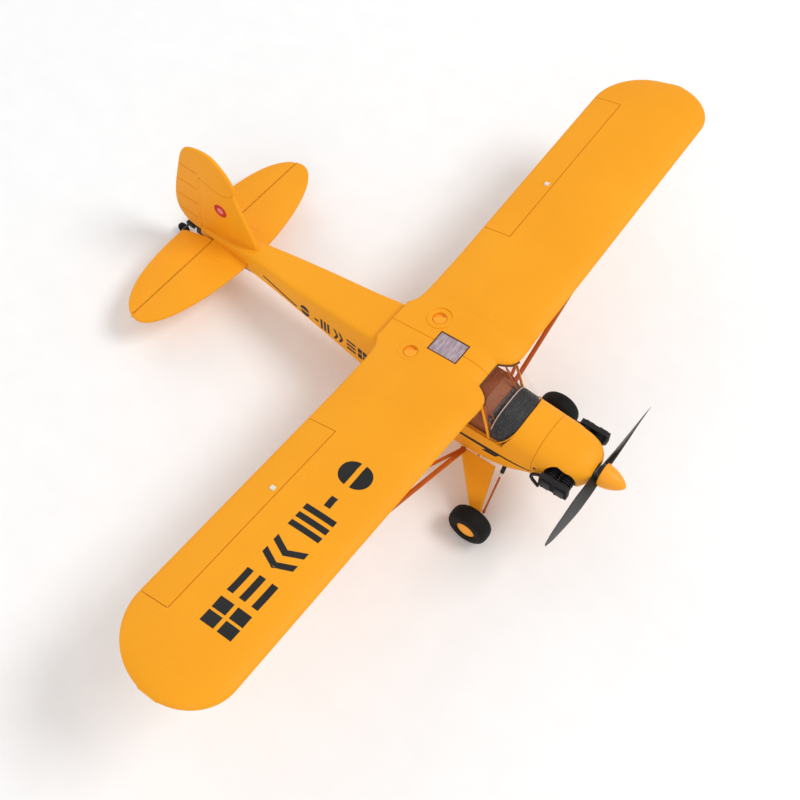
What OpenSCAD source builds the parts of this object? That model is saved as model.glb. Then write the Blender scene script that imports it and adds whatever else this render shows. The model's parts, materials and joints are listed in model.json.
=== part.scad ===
// Foam radio-controlled high-wing model aeroplane.
// Every part is built in the flying attitude (nose to -Y, span along X, +Z up, wing
// leading edge at y = 0, wing seat at z = 0) and then tipped nose-up onto its wheels.

/* [Wing] */
// Distance from one wing tip to the other
wing_span = 650; // [620:1:680]
// Chord of the straight outer panels
wing_chord = 91.5; // [85:0.5:98]
// Rise of each outer panel per millimetre of span
dihedral_slope = 0.07; // [0.04:0.005:0.1]
// Depth of the outer panel's section
wing_depth = 9.6; // [8:0.1:11]
// Aileron inner end, measured from the middle of the wing
aileron_in = 110; // [100:1:130]
// Aileron outer end, measured from the middle of the wing
aileron_out = 277; // [250:1:280]

/* [Fuselage] */
// Half width of the cabin
cabin_half = 25.5; // [24:0.1:27]
// Foam wall thickness
foam_wall = 3; // [2.5:0.1:3.5]
// Height of the side window sill below the wing seat
sill_drop = 33; // [30:1:36]

/* [Tail] */
// Half span of the tailplane
tail_half = 103; // [98:1:110]
// Thickness of the tailplane foam
tail_depth = 3.4; // [3:0.1:4]
// Thickness of the fin and rudder foam
fin_depth = 3.6; // [3:0.1:4.2]
// Backward lean of the rudder hinge line, in degrees
rudder_rake = 6.8; // [4:0.1:9]

/* [Running gear] */
// Half of the distance between the main wheels
track_half = 64; // [60:0.5:68]
// Radius of a main tyre
tyre_r = 17; // [15:0.5:18]
// Width of a main tyre
tyre_w = 15; // [13:0.5:16]
// Radius of the tail wheel
tail_tyre_r = 5.5; // [4.5:0.1:6]

/* [Power] */
// Propeller tip radius
prop_r = 78; // [70:1:80]
// Angle of the blades at rest, in degrees
prop_turn = 7; // [-90:1:90]
// Radius of the motor can
motor_r = 11; // [9:0.5:11.5]

/* [Hidden] */

$fn = 48;
eps = 0.01;
half_span = wing_span / 2;

// Colours
foam = [0.98, 0.66, 0.17];
black = [0.05, 0.05, 0.05];
clear = [0.8, 0.78, 0.84, 0.5];
brown = [0.6, 0.25, 0.06];
strut_brown = [0.72, 0.32, 0.08];
steel = [0.75, 0.75, 0.78];
servo_blue = [0.15, 0.2, 0.35];
white = [0.93, 0.9, 0.85];

// Main wheel and tail wheel centres
wheel_y = -20.3;
wheel_z = -92.3;
tail_wheel_y = 317;
tail_wheel_z = -38;

// Attitude on the ground: both kinds of wheel touch z = 0
wheel_gap = norm([tail_wheel_y - wheel_y, tail_wheel_z - wheel_z]);
stance = atan2(tail_wheel_z - wheel_z, tail_wheel_y - wheel_y)
    + asin((tyre_r - tail_tyre_r) / wheel_gap);
ground_z = wheel_z * cos(stance) - wheel_y * sin(stance) - tyre_r;
// Middle of the whole model's length, once it is tipped onto its wheels
mid_y = 100.28;

// Hinge lines
aileron_hinge_y = 67.3;
elevator_hinge = [0, 278, -20];
rudder_hinge = [0, 288, 21];
thrust = [0, 0, -35];
// Horn and servo arm lengths, pivot to rod hole
wing_arm = 10.5;
tail_arm = 8;
// Pins and the holes that they turn in
pin_r = 0.5;
hole_r = 0.56;
arm_t = 1.2;
rod_r = 0.7;
// Servo output shaft
shaft_r = 0.9;
// Sideways step from an arm's mid plane to its rod's centre line
rod_step = 1.6;

// Tips the level aeroplane nose-up and puts the origin under its middle
module stand()
    translate([0, -mid_y, -ground_z])
        rotate([-stance, 0, 0])
            children();

module both_sides() {
    children();
    mirror([1, 0, 0]) children();
}

// Solid through a row of closed rings that have equal numbers of points
module loft(rings) {
    n = len(rings[0]);
    last = (len(rings) - 1) * n;
    polyhedron(
        points = [for (ring = rings) for (p = ring) p],
        faces = concat(
            [[for (i = [n - 1:-1:0]) i]],
            [for (k = [0:len(rings) - 2]) for (i = [0:n - 1]) for (side = [0, 1])
                let (a = k * n + i, b = k * n + (i + 1) % n)
                side == 0 ? [a, b, b + n] : [a, b + n, a + n]],
            [[for (i = [0:n - 1]) last + i]]
        ),
        convexity = 8
    );
}

// Round bar between two points
module bar(a, b, r) {
    d = b - a;
    translate(a)
        rotate([0, acos(d.z / norm(d)), atan2(d.y, d.x)])
            cylinder(r = r, h = norm(d));
}

// Cylinder along X, centred, and cylinder along -Y starting at y
module x_cyl(r, w) rotate([0, 90, 0]) cylinder(r = r, h = w, center = true);
module y_cyl(r, y0, y1) translate([0, y1, 0]) rotate([90, 0, 0]) cylinder(r = r, h = y1 - y0);

function signed_pow(v, e) = sign(v) * pow(abs(v), e);

// ---------------------------------------------------------------- fuselage form
// Station tables: [y, value]
half_w = [[-84, 10], [-82, 14], [-77, 19], [-68, 22.4], [-56, 24.2], [-43.5, 24.7],
    [-24, cabin_half], [60, cabin_half], [91, 23.6], [130, 20.3], [178, 16.5],
    [230, 10.6], [262, 7.5], [296, 3.6]];
top_z = [[-84, -27], [-82, -24], [-77, -21], [-68, -19], [-56, -18], [-43.5, -17.2],
    [-24, -15.4], [-8, -13.5], [56, -13.5], [56.5, 0], [99, 0], [130, -2.3],
    [178, -4.6], [230, -7], [250, -9.6], [276, -14.2], [296, -16]];
bottom_z = [[-84, -43], [-82, -46.5], [-77, -50.5], [-68, -53], [-56, -54.7],
    [-43.5, -56], [-24, -64], [-6, -68.5], [15, -70], [28, -69.3], [91, -54],
    [130, -44.3], [178, -33.5], [205, -30], [230, -28.4], [262, -27], [296, -25]];
// Corner sharpness above and below the widest line: 2 is an ellipse, 8 nearly a box
top_n = [[-84, 2], [-43.5, 2.3], [-24, 2.6], [-8, 3], [56, 3], [56.5, 8], [99, 8], [178, 6],
    [296, 4]];
low_n = [[-84, 2], [-68, 2.6], [-43.5, 3.4], [-24, 5], [0, 6], [200, 6], [296, 4]];

function fus_ring(y, inset, n) =
    let (
        w = lookup(y, half_w) - inset,
        zt = lookup(y, top_z) - inset,
        zb = lookup(y, bottom_z) + inset,
        zc = zt + (zb - zt) * (y < 30 ? 0.42 : 0.5)
    )
    [for (i = [0:n - 1])
        let (
            a = 360 * (i + 0.5) / n,
            e = 2 / lookup(y, sin(a) > 0 ? top_n : low_n),
            h = sin(a) > 0 ? zt - zc : zc - zb
        )
        [w * signed_pow(cos(a), e), y, zc + h * signed_pow(sin(a), e)]];

nose_ys = [-43.5, -34, -24, -16, -8];
cabin_ys = [-8, -6, 0, 15, 28, 56, 56.5];
tail_ys = [75, 91, 99, 114, 130, 155, 178, 205, 230, 250, 262, 276, 296];
module fuselage_form(inset, ys, n = 32) loft([for (y = ys) fus_ring(y, inset, n)]);

// Behind the rudder hinge plane, less a margin
module behind_rudder_hinge(margin)
    translate(rudder_hinge)
        rotate([rudder_rake, 0, 0])
            translate([-100, -margin, -150])
                cube([200, 200, 300]);

// Plan of the cockpit opening in the nose deck: a bow with square corners from side to side
cockpit_back = -7;
cockpit_depth = 18;
function bow_plan(a, wide, deep) = [
    (cabin_half + wide) * signed_pow(sin(a), 0.5),
    cockpit_back - (cockpit_depth + deep) * sqrt(max(0, cos(a)))
];
module cockpit_plan(wide, deep) polygon([for (i = [-15:15]) bow_plan(6 * i, wide, deep)]);

module fuselage_shell() color(foam) difference() {
    union() {
        difference() {
            fuselage_form(0, concat(nose_ys, [for (y = cabin_ys) if (y > -8) y], tail_ys));
            fuselage_form(foam_wall, [-43.6, -34, -24, -16, -8, -6, 0, 15, 28, 56, 56.5, 75, 91,
                114, 130, 155, 178, 205, 218]);
            translate([-cabin_half + foam_wall, 56, -20])
                cube([2 * (cabin_half - foam_wall), 34, 30]);
        }
        // Pads that the wing screws bite into
        both_sides()
            translate([13.5, 62, -14])
                cube([9.2, 15, 14]);
    }
    // Cockpit: everything above the window sill, and the bow in the nose deck
    translate([-40, cockpit_back, -sill_drop])
        cube([80, 65.5 - 2 * eps, 60]);
    translate([0, 0, -sill_drop])
        linear_extrude(60) cockpit_plan(1, 0.2);
    // Battery hatch in the belly
    hatch_opening(0);
    // Groove for the undercarriage wire
    translate([-18, 0.8, -72])
        cube([36, 2.4, 4.6]);
    // Slots that the tail pushrods leave through
    translate([-14, 205, -31.5]) cube([6.6, 60, 9]);
    translate([6.2, 205, -33.5]) cube([7.8, 68, 11]);
    // Room inside the wall for the tail pushrods
    translate([-10.7, 188, -28.2]) cube([4, 18, 5]);
    translate([6.2, 198, -29.2]) cube([4, 8, 5]);
    // Slot for the tailplane, and the hole for the elevator's wire
    translate([-30, 236, -20 - tail_depth / 2]) cube([60, 39.9, tail_depth]);
    translate(elevator_hinge) x_cyl(1.3, 40);
    both_sides() translate([wing_screw_x, wing_screw_y, -20]) cylinder(r = 1.95, h = 30);
    behind_rudder_hinge(fin_depth / 2 + 0.45);
}

// ---------------------------------------------------------------- nose
cowl_ys = [-84, -83.2, -82, -79.5, -77, -72.5, -68, -62, -56, -50, -43.8];
module cowl_window()
    translate([0, -65.8, -38])
        rotate([0, 90, 0])
            linear_extrude(90, center = true)
                hull() {
                    translate([6, 8]) circle(r = 4);
                    translate([6, -8]) circle(r = 4);
                    translate([-4.5, 3.5]) circle(r = 8.5);
                    translate([-2.5, -3.5]) circle(r = 8.5);
                }

module cowl() color(foam) difference() {
    fuselage_form(0, cowl_ys);
    fuselage_form(1.4, [-82.4, -79.5, -77, -72.5, -68, -62, -56, -50, -43]);
    cowl_window();
    translate(thrust) y_cyl(6.5, -90, -80);
    at_cowl_screws() x_cyl(screw_r + 0.06, 6);
}

screw_r = 1.1;
module at_cowl_screws()
    both_sides()
        for (z = [-36, -47])
            translate([24.4, -46.5, z])
                children();

module firewall() color([0.75, 0.6, 0.4]) difference() {
    translate([0, -47, 0]) rotate([90, 0, 0]) linear_extrude(3) polygon([
        [-18, -46], [-14, -50], [14, -50], [18, -46], [18, -28], [12, -23], [-12, -23], [-18, -28]
    ]);
    for (x = [-8, 8]) for (z = [-43, -27])
        translate([x, 0, z]) y_cyl(1.1, -51, -46);
    translate([0, 0, -35]) y_cyl(3, -51, -46);
}

module cowl_screws() color(black) at_cowl_screws() x_cyl(screw_r, 1.6);

module motor_stator() color(steel) translate(thrust) difference() {
    union() {
        y_cyl(motor_r - 0.5, -53, -50);
        y_cyl(3.2, -73, -50);
        y_cyl(motor_r - 2.4, -70, -58);
    }
    y_cyl(1.55, -80, -40);
    for (x = [-8, 8]) for (z = [-8, 8]) translate([x, 0, z]) y_cyl(1.1, -55, -45);
}

module motor_bell() color([0.3, 0.3, 0.32]) translate(thrust) {
    difference() {
        y_cyl(motor_r, -76, -56);
        y_cyl(motor_r - 1.8, -74, -55);
        for (i = [0:5]) rotate([0, i * 60, 0]) translate([6, 0, 0]) y_cyl(1.6, -80, -70);
    }
    y_cyl(4.2, -86, -76);
    y_cyl(1.5, -76, -52);
    y_cyl(2, -93, -86);
}

blade_stations = [6, 12, 20, 30, 42, 54, 64, 72, 76, prop_r];
function blade_chord(r) = lookup(r, [[6, 8], [20, 12], [38, 15.5], [56, 13.5], [70, 9.5], [78, 3.5]]);
function blade_pitch(r) = atan2(15, r + 6);
function blade_ring(r) =
    let (c = blade_chord(r), p = blade_pitch(r), t = c * lookup(r, [[6, 0.26], [30, 0.13], [78, 0.1]]))
    [for (i = [0:15])
        let (
            a = 360 * i / 16,
            u = c / 2 * cos(a),
            v = t / 2 * sin(a) * (sin(a) > 0 ? 1.3 : 0.5)
        )
        [r, v * cos(p) - u * sin(p), u * cos(p) + v * sin(p)]];

prop_y = -87.6;
module propeller() color(black) translate(thrust) rotate([0, prop_turn, 0]) difference() {
    union() {
        y_cyl(7.5, prop_y - 1.6, prop_y + 1.6);
        for (k = [0, 180]) rotate([0, k, 0]) translate([0, prop_y, 0])
            loft([for (r = blade_stations) blade_ring(r)]);
    }
    y_cyl(2, -100, -80);
}

module prop_nut() color(steel) translate(thrust) difference() {
    translate([0, prop_y - 1.6, 0]) rotate([90, 0, 0]) cylinder(r = 3.6, h = 3, $fn = 6);
    y_cyl(2, -100, -80);
}

spinner_r = 9.4;
spinner_len = 19.6;
spinner_back = -89.2;
function ogive(s) = spinner_r * pow(1 - pow(s, 1.75), 0.78);
module spinner() color(foam) translate(thrust + [0, spinner_back, 0]) rotate([90, 0, 0]) difference() {
    rotate_extrude()
        polygon(concat([[0, 0]], [for (i = [0:12]) [ogive(i / 12), spinner_len * i / 12]]));
    translate([0, 0, -eps]) cylinder(r = 5.4, h = 7);
    // Slot over the blade roots
    rotate([0, 0, -prop_turn]) translate([-20, -3.7, -eps]) cube([40, 7.4, 2.2]);
}

// Dummy flat-four: two barrels with cooling fins and one long rocker box on each side
bank_y = -65.8;
bank_z = -36.4;
box_in = 26.1;
module cylinder_bank_left() color(black) {
    for (dy = [-5.7, 5.7]) translate([0, bank_y + dy, bank_z]) {
        translate([20.6, 0, 0]) x_cyl(4.4, 12);
        for (x = [16.6:2.4:24]) translate([x, 0, 0]) x_cyl(5.5, 1.1);
    }
    translate([box_in, bank_y - 11.4, bank_z - 6.4]) cube([4.6, 22.8, 12.6]);
    for (dy = [-5.7, 5.7]) translate([box_in + 4.5, bank_y + dy - 3.9, bank_z - 4]) cube([2, 7.8, 8.4]);
}
module cylinder_bank_right() mirror([1, 0, 0]) cylinder_bank_left();

// Short pipes that curl round behind each bank
pipe_route = [[27.6, -53, -35.6], [28.4, -46.4, -40], [28.4, -54, -49.4]];
module exhaust_pipes() color(black) both_sides() {
    bar(pipe_route[0], pipe_route[1], 1.2);
    bar(pipe_route[1], pipe_route[2], 1.2);
    translate(pipe_route[1]) sphere(r = 1.4, $fn = 24);
}

// ---------------------------------------------------------------- radio and battery
hatch_y = [-41, -13];
hatch_half = 14;
module hatch_opening(gap)
    translate([-hatch_half + gap, hatch_y[0] + gap, -75])
        cube([2 * (hatch_half - gap), hatch_y[1] - hatch_y[0] - 2 * gap, 24]);

module battery_hatch() color(foam) intersection() {
    difference() {
        fuselage_form(0, [-43.5, -34, -24, -16, -8]);
        fuselage_form(2.6, [-43.6, -34, -24, -16, -7.9]);
    }
    hatch_opening(0.35);
}

module battery() color([0.2, 0.35, 0.7]) {
    translate([-8.5, -38, -52.6]) cube([17, 40, 12]);
    translate([-4, 2, -49]) cube([8, 3, 5]);
}

module battery_tray() color([0.75, 0.6, 0.4]) {
    translate([-20, -44, -40.2]) cube([40, 52, 1.5]);
    both_sides() translate([8.8, -38, -52]) cube([1.2, 40, 11.8]);
}

module control_board() color([0.1, 0.35, 0.2]) {
    translate([-11, 5, -64.6]) cube([22, 26, 1.4]);
    translate([-6, 9, -63.2]) cube([8, 8, 1.6]);
    for (i = [0:4]) translate([-8 + i * 3.6, 24, -63.2]) cube([2.6, 5, 4]);
}

module servo_tray() color([0.75, 0.6, 0.4]) difference() {
    translate([0, 0, -27]) linear_extrude(1.5)
        polygon([[-22, 31.5], [22, 31.5], [22, 58], [19.8, 89.5], [-19.8, 89.5], [-22, 58]]);
    translate([-4.4, 33.6, -30]) cube([8.8, 20.8, 6]);
    translate([-6.7, 65.7, -30]) cube([8.2, 20.6, 6]);
    translate([-14, 60, -30]) cube([6, 29, 6]);
}

elevator_servo_pivot = [-7.5, 72, -13];
rudder_servo_pivot = [0, 44, -13];
module servo_case(size) {
    cube(size);
    translate([0, -2.4, size.z - 6]) cube([size.x, size.y + 4.8, 1.2]);
}
module tail_servos() color(servo_blue) {
    translate([-6.4, 66, -25.4]) servo_case([7.6, 20, 17.5]);
    translate(elevator_servo_pivot + [0.55, 0, 0]) x_cyl(shaft_r, 2);
    translate([-4.1, 34, -31.4]) servo_case([8.2, 20, 16]);
    translate(rudder_servo_pivot) rotate([rudder_rake, 0, 0]) translate([0, 0, -3])
        cylinder(r = shaft_r, h = 4);
}

// Flat arm that turns about its own Z axis, with its rod hole at distance len along +X
module arm(len, thick = arm_t) difference() {
    hull() {
        cylinder(r = 2, h = thick, center = true);
        translate([len, 0, 0]) cylinder(r = 1.4, h = thick, center = true);
    }
    cylinder(r = shaft_r + 0.06, h = 2 * thick + 1, center = true);
    translate([len, 0, 0]) cylinder(r = hole_r, h = 2 * thick + 1, center = true);
}

// Turns an arm into a plane of constant x, hanging straight down
module hanging() rotate([0, 90, 0]) children();

module servo_arm_elevator() color(white) translate(elevator_servo_pivot) hanging() arm(tail_arm);
module servo_arm_rudder() color(white)
    translate(rudder_servo_pivot) rotate([rudder_rake, 0, 0]) translate([0, 0, 0.4]) arm(tail_arm, 1);

// ---------------------------------------------------------------- wing form
wing_screw_x = 18.7;
wing_screw_y = 69.4;
panel_x = 45;
tip_le_x = 292;
tip_te_x = 277;
tip_y = 39;
span_table = [0, 7, 12, 14.5, 17.5, 21.5, 27, 36, panel_x, 76, aileron_in];
le_table = [[0, 13], [12, 13], [14.5, 8.4], [17.5, 4.6], [21.5, 2], [27, 1], [panel_x, 0]];
te_table = [[0, 98.5], [27, 95], [panel_x, 92.3], [76, wing_chord]];
rise_table = [[0, 0], [27, 0], [36, 2.6], [panel_x, 7.4]];
depth_table = [[0, 9.3], [14.5, 9.8], [27, 12], [36, 11.6], [panel_x, wing_depth]];
te_share = [[0, 0.6], [27, 0.5], [panel_x, 0.12]];
tip_rise = 1.2;

function tip_part(x, x0) = x <= x0 ? 0 : min(0.985, (x - x0) / (half_span - x0));
function wing_le(x) = x <= panel_x ? lookup(x, le_table)
    : tip_y * (1 - sqrt(1 - pow(tip_part(x, tip_le_x), 2)));
function wing_te(x) = x <= tip_te_x ? lookup(x, te_table)
    : tip_y + (wing_chord - tip_y) * sqrt(1 - pow(tip_part(x, tip_te_x), 2));
function wing_rise(x) = x <= panel_x ? lookup(x, rise_table)
    : 4.25 + dihedral_slope * x + tip_rise * pow(tip_part(x, tip_te_x), 3);
function wing_thick(x) =
    (x <= panel_x ? lookup(x, depth_table) : wing_depth)
    * pow((wing_te(x) - wing_le(x)) / (x > tip_te_x ? wing_chord : wing_te(x) - wing_le(x)), 0.8);

// Height of the section's upper and lower face as a share of its depth
function upper(s, te) = s < 0.3
    ? 0.3 + 0.7 * sqrt(1 - pow((0.3 - s) / 0.3, 2))
    : te + (1 - te) * (1 - pow((s - 0.3) / 0.7, 1.8));
function lower(s) = s < 0.15 ? 0.3 * (1 - sqrt(1 - pow((0.15 - s) / 0.15, 2))) : 0;
upper_s = [0, 0.012, 0.04, 0.09, 0.16, 0.3, 0.45, 0.6, 0.735, 0.87, 1];
lower_s = [1, 0.735, 0.4, 0.15, 0.07, 0.02];

function wing_ring(sx) =
    let (
        x = abs(sx), le = wing_le(x), c = wing_te(x) - le,
        z = wing_rise(x), t = wing_thick(x), te = lookup(x, te_share)
    )
    concat(
        [for (s = upper_s) [sx, le + c * s, z + t * upper(s, te)]],
        [for (s = lower_s) [sx, le + c * s, z + t * lower(s)]]
    );

tip_xs = [aileron_out, 285, 292, 299, 306, 312, 317, 321, 323.5, half_span];
half_xs = concat(span_table, [160, 220], tip_xs);
module wing_form()
    loft([for (x = concat([for (i = [len(half_xs) - 1:-1:1]) -half_xs[i]], half_xs)) wing_ring(x)]);

hinge_top = wing_depth * upper(aileron_hinge_y / wing_chord, 0.12);
dihedral = atan(dihedral_slope);
// Puts children on the left aileron's hinge line, X along the hinge
module at_aileron_hinge()
    translate([0, aileron_hinge_y, 4.25 + hinge_top])
        rotate([0, -dihedral, 0])
            children();

along = 1 / cos(dihedral);
// Bevelled block that holds the aileron; gap is the clearance to the wing
module aileron_block(gap, bevel)
    at_aileron_hinge()
        translate([aileron_in * along + gap, 0, 0])
            rotate([90, 0, 90])
                linear_extrude((aileron_out - aileron_in) * along - 2 * gap)
                    polygon([[gap, 14], [gap, 0], [gap + 14 * tan(bevel), -14], [60, -14], [60, 14]]);

horn_x = 171;
servo_y = 33;
module servo_pocket(grow)
    at_aileron_hinge()
        translate([horn_x * along - 8.4 - grow, servo_y - aileron_hinge_y - 7 - grow, -20])
            cube([17.4 + 2 * grow, 19 + 2 * grow, 22.2 + grow]);

module wing() color(foam) difference() {
    wing_form();
    both_sides() {
        aileron_block(-0.25, 0);
        servo_pocket(0.2);
        translate([wing_screw_x, wing_screw_y, -5]) cylinder(r = 2.2, h = 30);
        translate([wing_screw_x, wing_screw_y, seat_z]) cylinder(r = 9.7, h = 20);
    }
    translate([-9.9, 35.7, -5]) cube([19.8, 25.7, 30]);
}

seat_z = 5.6;
module screw_seats() color(foam) both_sides()
    translate([wing_screw_x, wing_screw_y, seat_z]) difference() {
        cylinder(r = 9.5, h = 1.9);
        translate([0, 0, -1]) cylinder(r = 2.2, h = 5);
        translate([0, 0, 1.2]) cylinder(r = 4.5, h = 5);
    }

module wing_screws() color(foam) both_sides()
    translate([wing_screw_x, wing_screw_y, seat_z + 1.2]) {
        cylinder(r = 4.2, h = 1.1);
        translate([0, 0, -17]) cylinder(r = 1.9, h = 17);
        rotate([0, 0, 40]) translate([0, 0.9, 1.1]) rotate([90, 0, 0])
            intersection() {
                cylinder(r = 3.6, h = 1.8);
                translate([-5, 0, -1]) cube([10, 10, 5]);
            }
    }

module skylight() color(clear)
    translate([-9.6, 36, 6.2]) rotate([-2.5, 0, 0]) cube([19.2, 25, 0.8]);

// ---------------------------------------------------------------- cabin glass
// Bow along the deck, from the right foot of the windshield round to the left foot
function deck_z(x, y) =
    let (
        zt = lookup(y, top_z),
        zc = zt + (lookup(y, bottom_z) - zt) * 0.42,
        n = lookup(y, top_n)
    )
    zc + (zt - zc) * pow(max(0, 1 - pow(abs(x) / lookup(y, half_w), n)), 1 / n);
function bow(a) = let (p = bow_plan(a, 0, 0)) [p.x, p.y, max(0.1 - sill_drop, deck_z(p.x, p.y))];
// Edge along the wing's cut-out above it
brow_table = [[0, 12.6], [12, 12.6], [14.5, 7.5], [17.5, 3.6], [23.4, 1.2]];
function brow(a) = let (x = 23.4 * sin(a)) [x, lookup(abs(x), brow_table), 3.2];
glass_t = 0.9;
// The same point on the inner face: a step towards the middle of the cabin roof
function inner_face(p) = let (d = [-p.x, 30 - p.y, 0]) p + d * glass_t / norm(d);
function glass_row(a) =
    let (p = bow(a), q = brow(a), bulge = [1.6 * sin(a), -1.2 * cos(a), 0.8 * cos(a)])
    [p, p + (q - p) / 2 + bulge, q];
glass_steps = 22;
glass_end = 89.6;
module windshield() color(clear) loft([for (i = [0:glass_steps])
    let (o = glass_row(glass_end * (2 * i / glass_steps - 1)))
    [o[2], o[1], o[0], inner_face(o[0]), inner_face(o[1]), inner_face(o[2])]]);

window_outline = [[cockpit_back + 1.4, -sill_drop + 0.2], [56.2, -sill_drop + 0.2], [56.2, -0.2],
    [7.4, -0.2], [4.5, -3]];
module side_windows() color(clear) both_sides()
    translate([cabin_half - 1.6, 0, 0]) rotate([90, 0, 90])
        linear_extrude(0.8) polygon(window_outline);

module window_posts() color(foam) both_sides() {
    bar([cabin_half - 0.9, cockpit_back + 0.6, -sill_drop + 1], [22.9, 3.6, -0.8], 0.9);
    translate([cabin_half - 3.1, 21, -sill_drop]) cube([1.4, 2.4, sill_drop]);
    translate([cabin_half - 3.1, 40, -sill_drop]) cube([1.4, 2.4, sill_drop]);
}

module glare_shield() color([0.13, 0.15, 0.17]) intersection() {
    difference() {
        fuselage_form(0.3, [-34, -24, -16, -8, -6.9]);
        fuselage_form(2, [-34.1, -24, -16, -8, -6.8]);
    }
    translate([0, 0, -sill_drop + 0.2]) linear_extrude(40) cockpit_plan(-2.4, -2.2);
}

liner_half = 21.4;
module cabin_liner() color(brown) difference() {
    translate([liner_half, 0, 0]) rotate([90, 0, -90])
        linear_extrude(2 * liner_half)
            polygon([[6.5, -38], [6.5, -22], [-8, -12.5], [-31, -12.5], [-31, -38]]);
    translate([liner_half - 1.2, 0, 0]) rotate([90, 0, -90])
        linear_extrude(2 * liner_half - 2.4)
            polygon([[5.3, -39], [5.3, -22.8], [-8.4, -13.7], [-29.8, -13.7], [-29.8, -39]]);
}

// ---------------------------------------------------------------- tail
function tail_le(x) = 270 - 34 * sqrt(max(0, 1 - pow(x / tail_half, 1.8)));
function tail_te(x) = 270 + 33.5 * sqrt(max(0, 1 - pow(x / tail_half, 3)));
tail_steps = [for (i = [0:22]) tail_half * sin(90 * i / 22)];
module tail_plan(x_in = 0)
    polygon(concat(
        [for (x = tail_steps) if (x >= x_in) [x, tail_le(x)]],
        [for (i = [len(tail_steps) - 2:-1:0]) if (tail_steps[i] >= x_in) [tail_steps[i], tail_te(tail_steps[i])]]
    ));

module flat_tail(depth) translate([0, 0, elevator_hinge.z - depth / 2]) linear_extrude(depth) children();

module stabiliser() color(foam) flat_tail(tail_depth) intersection() {
    union() {
        tail_plan();
        mirror([1, 0]) tail_plan();
    }
    translate([-150, 236.05]) square([300, elevator_hinge.y - tail_depth / 2 - 0.4 - 236.05]);
}

// Inner edge leaves room for the rudder's swing and the tail post
elevator_root = [[6.4, 270], [6.4, 281], [11, 303], [14, 310], [130, 310], [130, 270]];
module elevator() color(foam) both_sides() difference() {
    union() {
        flat_tail(tail_depth) intersection() {
            tail_plan();
            polygon(elevator_root);
            translate([0, elevator_hinge.y]) square([200, 50]);
        }
        intersection() {
            translate(elevator_hinge + [52, 0, 0]) x_cyl(tail_depth / 2, 91.2);
            flat_tail(10) tail_plan();
        }
    }
    translate(elevator_hinge) x_cyl(0.8, 28);
}

module elevator_joiner() color(steel) translate(elevator_hinge) x_cyl(0.8, 28);

// Horn that clamps under a surface and hangs down to its rod hole
module elevator_horn() color(white) translate([elevator_servo_pivot.x, elevator_hinge.y, elevator_hinge.z])
    hanging() difference() {
        hull() {
            translate([tail_depth / 2 + 0.6, 3.4, 0]) cube([1.2, 6, arm_t], center = true);
            translate([tail_arm, 0, 0]) cylinder(r = 1.4, h = arm_t, center = true);
        }
        translate([tail_arm, 0, 0]) cylinder(r = hole_r, h = 4, center = true);
    }

module at_rudder_hinge() translate(rudder_hinge) rotate([rudder_rake, 0, 0]) children();

// Side outline of the rudder on its hinge line: [behind, above]
rudder_foot = -43.8;
rudder_back = [[3, rudder_foot], [10.8, -43.2], [16, -41], [20.5, -37], [24.2, -31], [25.6, -24],
    [25.8, -16], [25, -6], [23.6, 3], [21.8, 13], [19.9, 23], [18.2, 32], [16.2, 39],
    [13.6, 44], [10, 47.2], [3.6, 50.4], [-4, 52.4], [-11.2, 53], [-16, 51.6], [-20.7, 49.2],
    [-28.5, 43], [-33, 37.4], [-35.5, 33.1], [-36, 29.4]];
horn_edge = [[-35.2, 26.4], [-33, 23.2], [-29, 20.6], [-24, 19.2], [-18, 19], [-11, 20.2],
    [-4, 22.2], [0, 23.6]];
module rudder() color(foam) at_rudder_hinge() {
    rotate([90, 0, 90]) linear_extrude(fin_depth, center = true)
        polygon(concat([[0, rudder_foot]], rudder_back, horn_edge));
    translate([0, 0, rudder_foot]) cylinder(r = fin_depth / 2, h = horn_edge[7].y - rudder_foot);
}

fin_front = [231.5, 251.2];
module fin() color(foam) difference() {
    translate([-fin_depth / 2, 0, 0]) rotate([90, 0, 90]) linear_extrude(fin_depth)
        polygon(concat([[fin_front[1], 44], [290, 60]],
            [for (y = [300, 296, 276, 250, fin_front[0]]) [y, lookup(y, top_z) + 0.06]]));
    behind_rudder_hinge(fin_depth / 2 + 0.45);
    // Room for the rudder's balance horn
    at_rudder_hinge() rotate([90, 0, 90]) linear_extrude(20, center = true)
        polygon(concat([[60, 90], [-60, 90], [-60, 28]], [for (p = horn_edge) p - [0.4, 0.9]], [[60, 0]]));
}

rudder_horn_v = -52.3;
module rudder_horn() color(black) at_rudder_hinge()
    translate([0, 0, rudder_horn_v]) {
        arm(tail_arm);
        difference() {
            translate([-1.8, -1.5, arm_t / 2 - eps]) cube([3.6, 6.9, 8 + 2 * eps]);
            translate([-10, -10, 8]) cube([20, 20, 5]);
        }
    }

// Fork under the rudder that trails the tail wheel
bracket_top = -44.2;
module tail_wheel_bracket() color(black) difference() {
    union() {
        at_rudder_hinge() translate([-3.4, 6.2, bracket_top - 3.8]) cube([6.8, 10, 3.4]);
        both_sides() hull() {
            at_rudder_hinge() translate([2.4, 8.2, bracket_top - 3.8]) cube([1, 7.6, 2]);
            translate([2.9, tail_wheel_y, tail_wheel_z]) x_cyl(1.8, 1);
        }
    }
    translate([0, tail_wheel_y, tail_wheel_z]) x_cyl(0.85, 20);
}

module tail_wheel() color(black) translate([0, tail_wheel_y, tail_wheel_z]) {
    x_cyl(0.8, 7.6);
    rotate([0, 90, 0]) rotate_extrude()
        translate([tail_tyre_r - 2, 0]) circle(r = 2);
    x_cyl(tail_tyre_r - 2, 3.2);
}

// ---------------------------------------------------------------- ailerons and their drive
module aileron_left() color(foam) intersection() {
    wing_form();
    aileron_block(0.25, 27);
}
module aileron_right() mirror([1, 0, 0]) aileron_left();

// On the hinge line at the horn's place along the span
module at_horn() at_aileron_hinge() translate([horn_x * along, 0, 0]) children();

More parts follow.
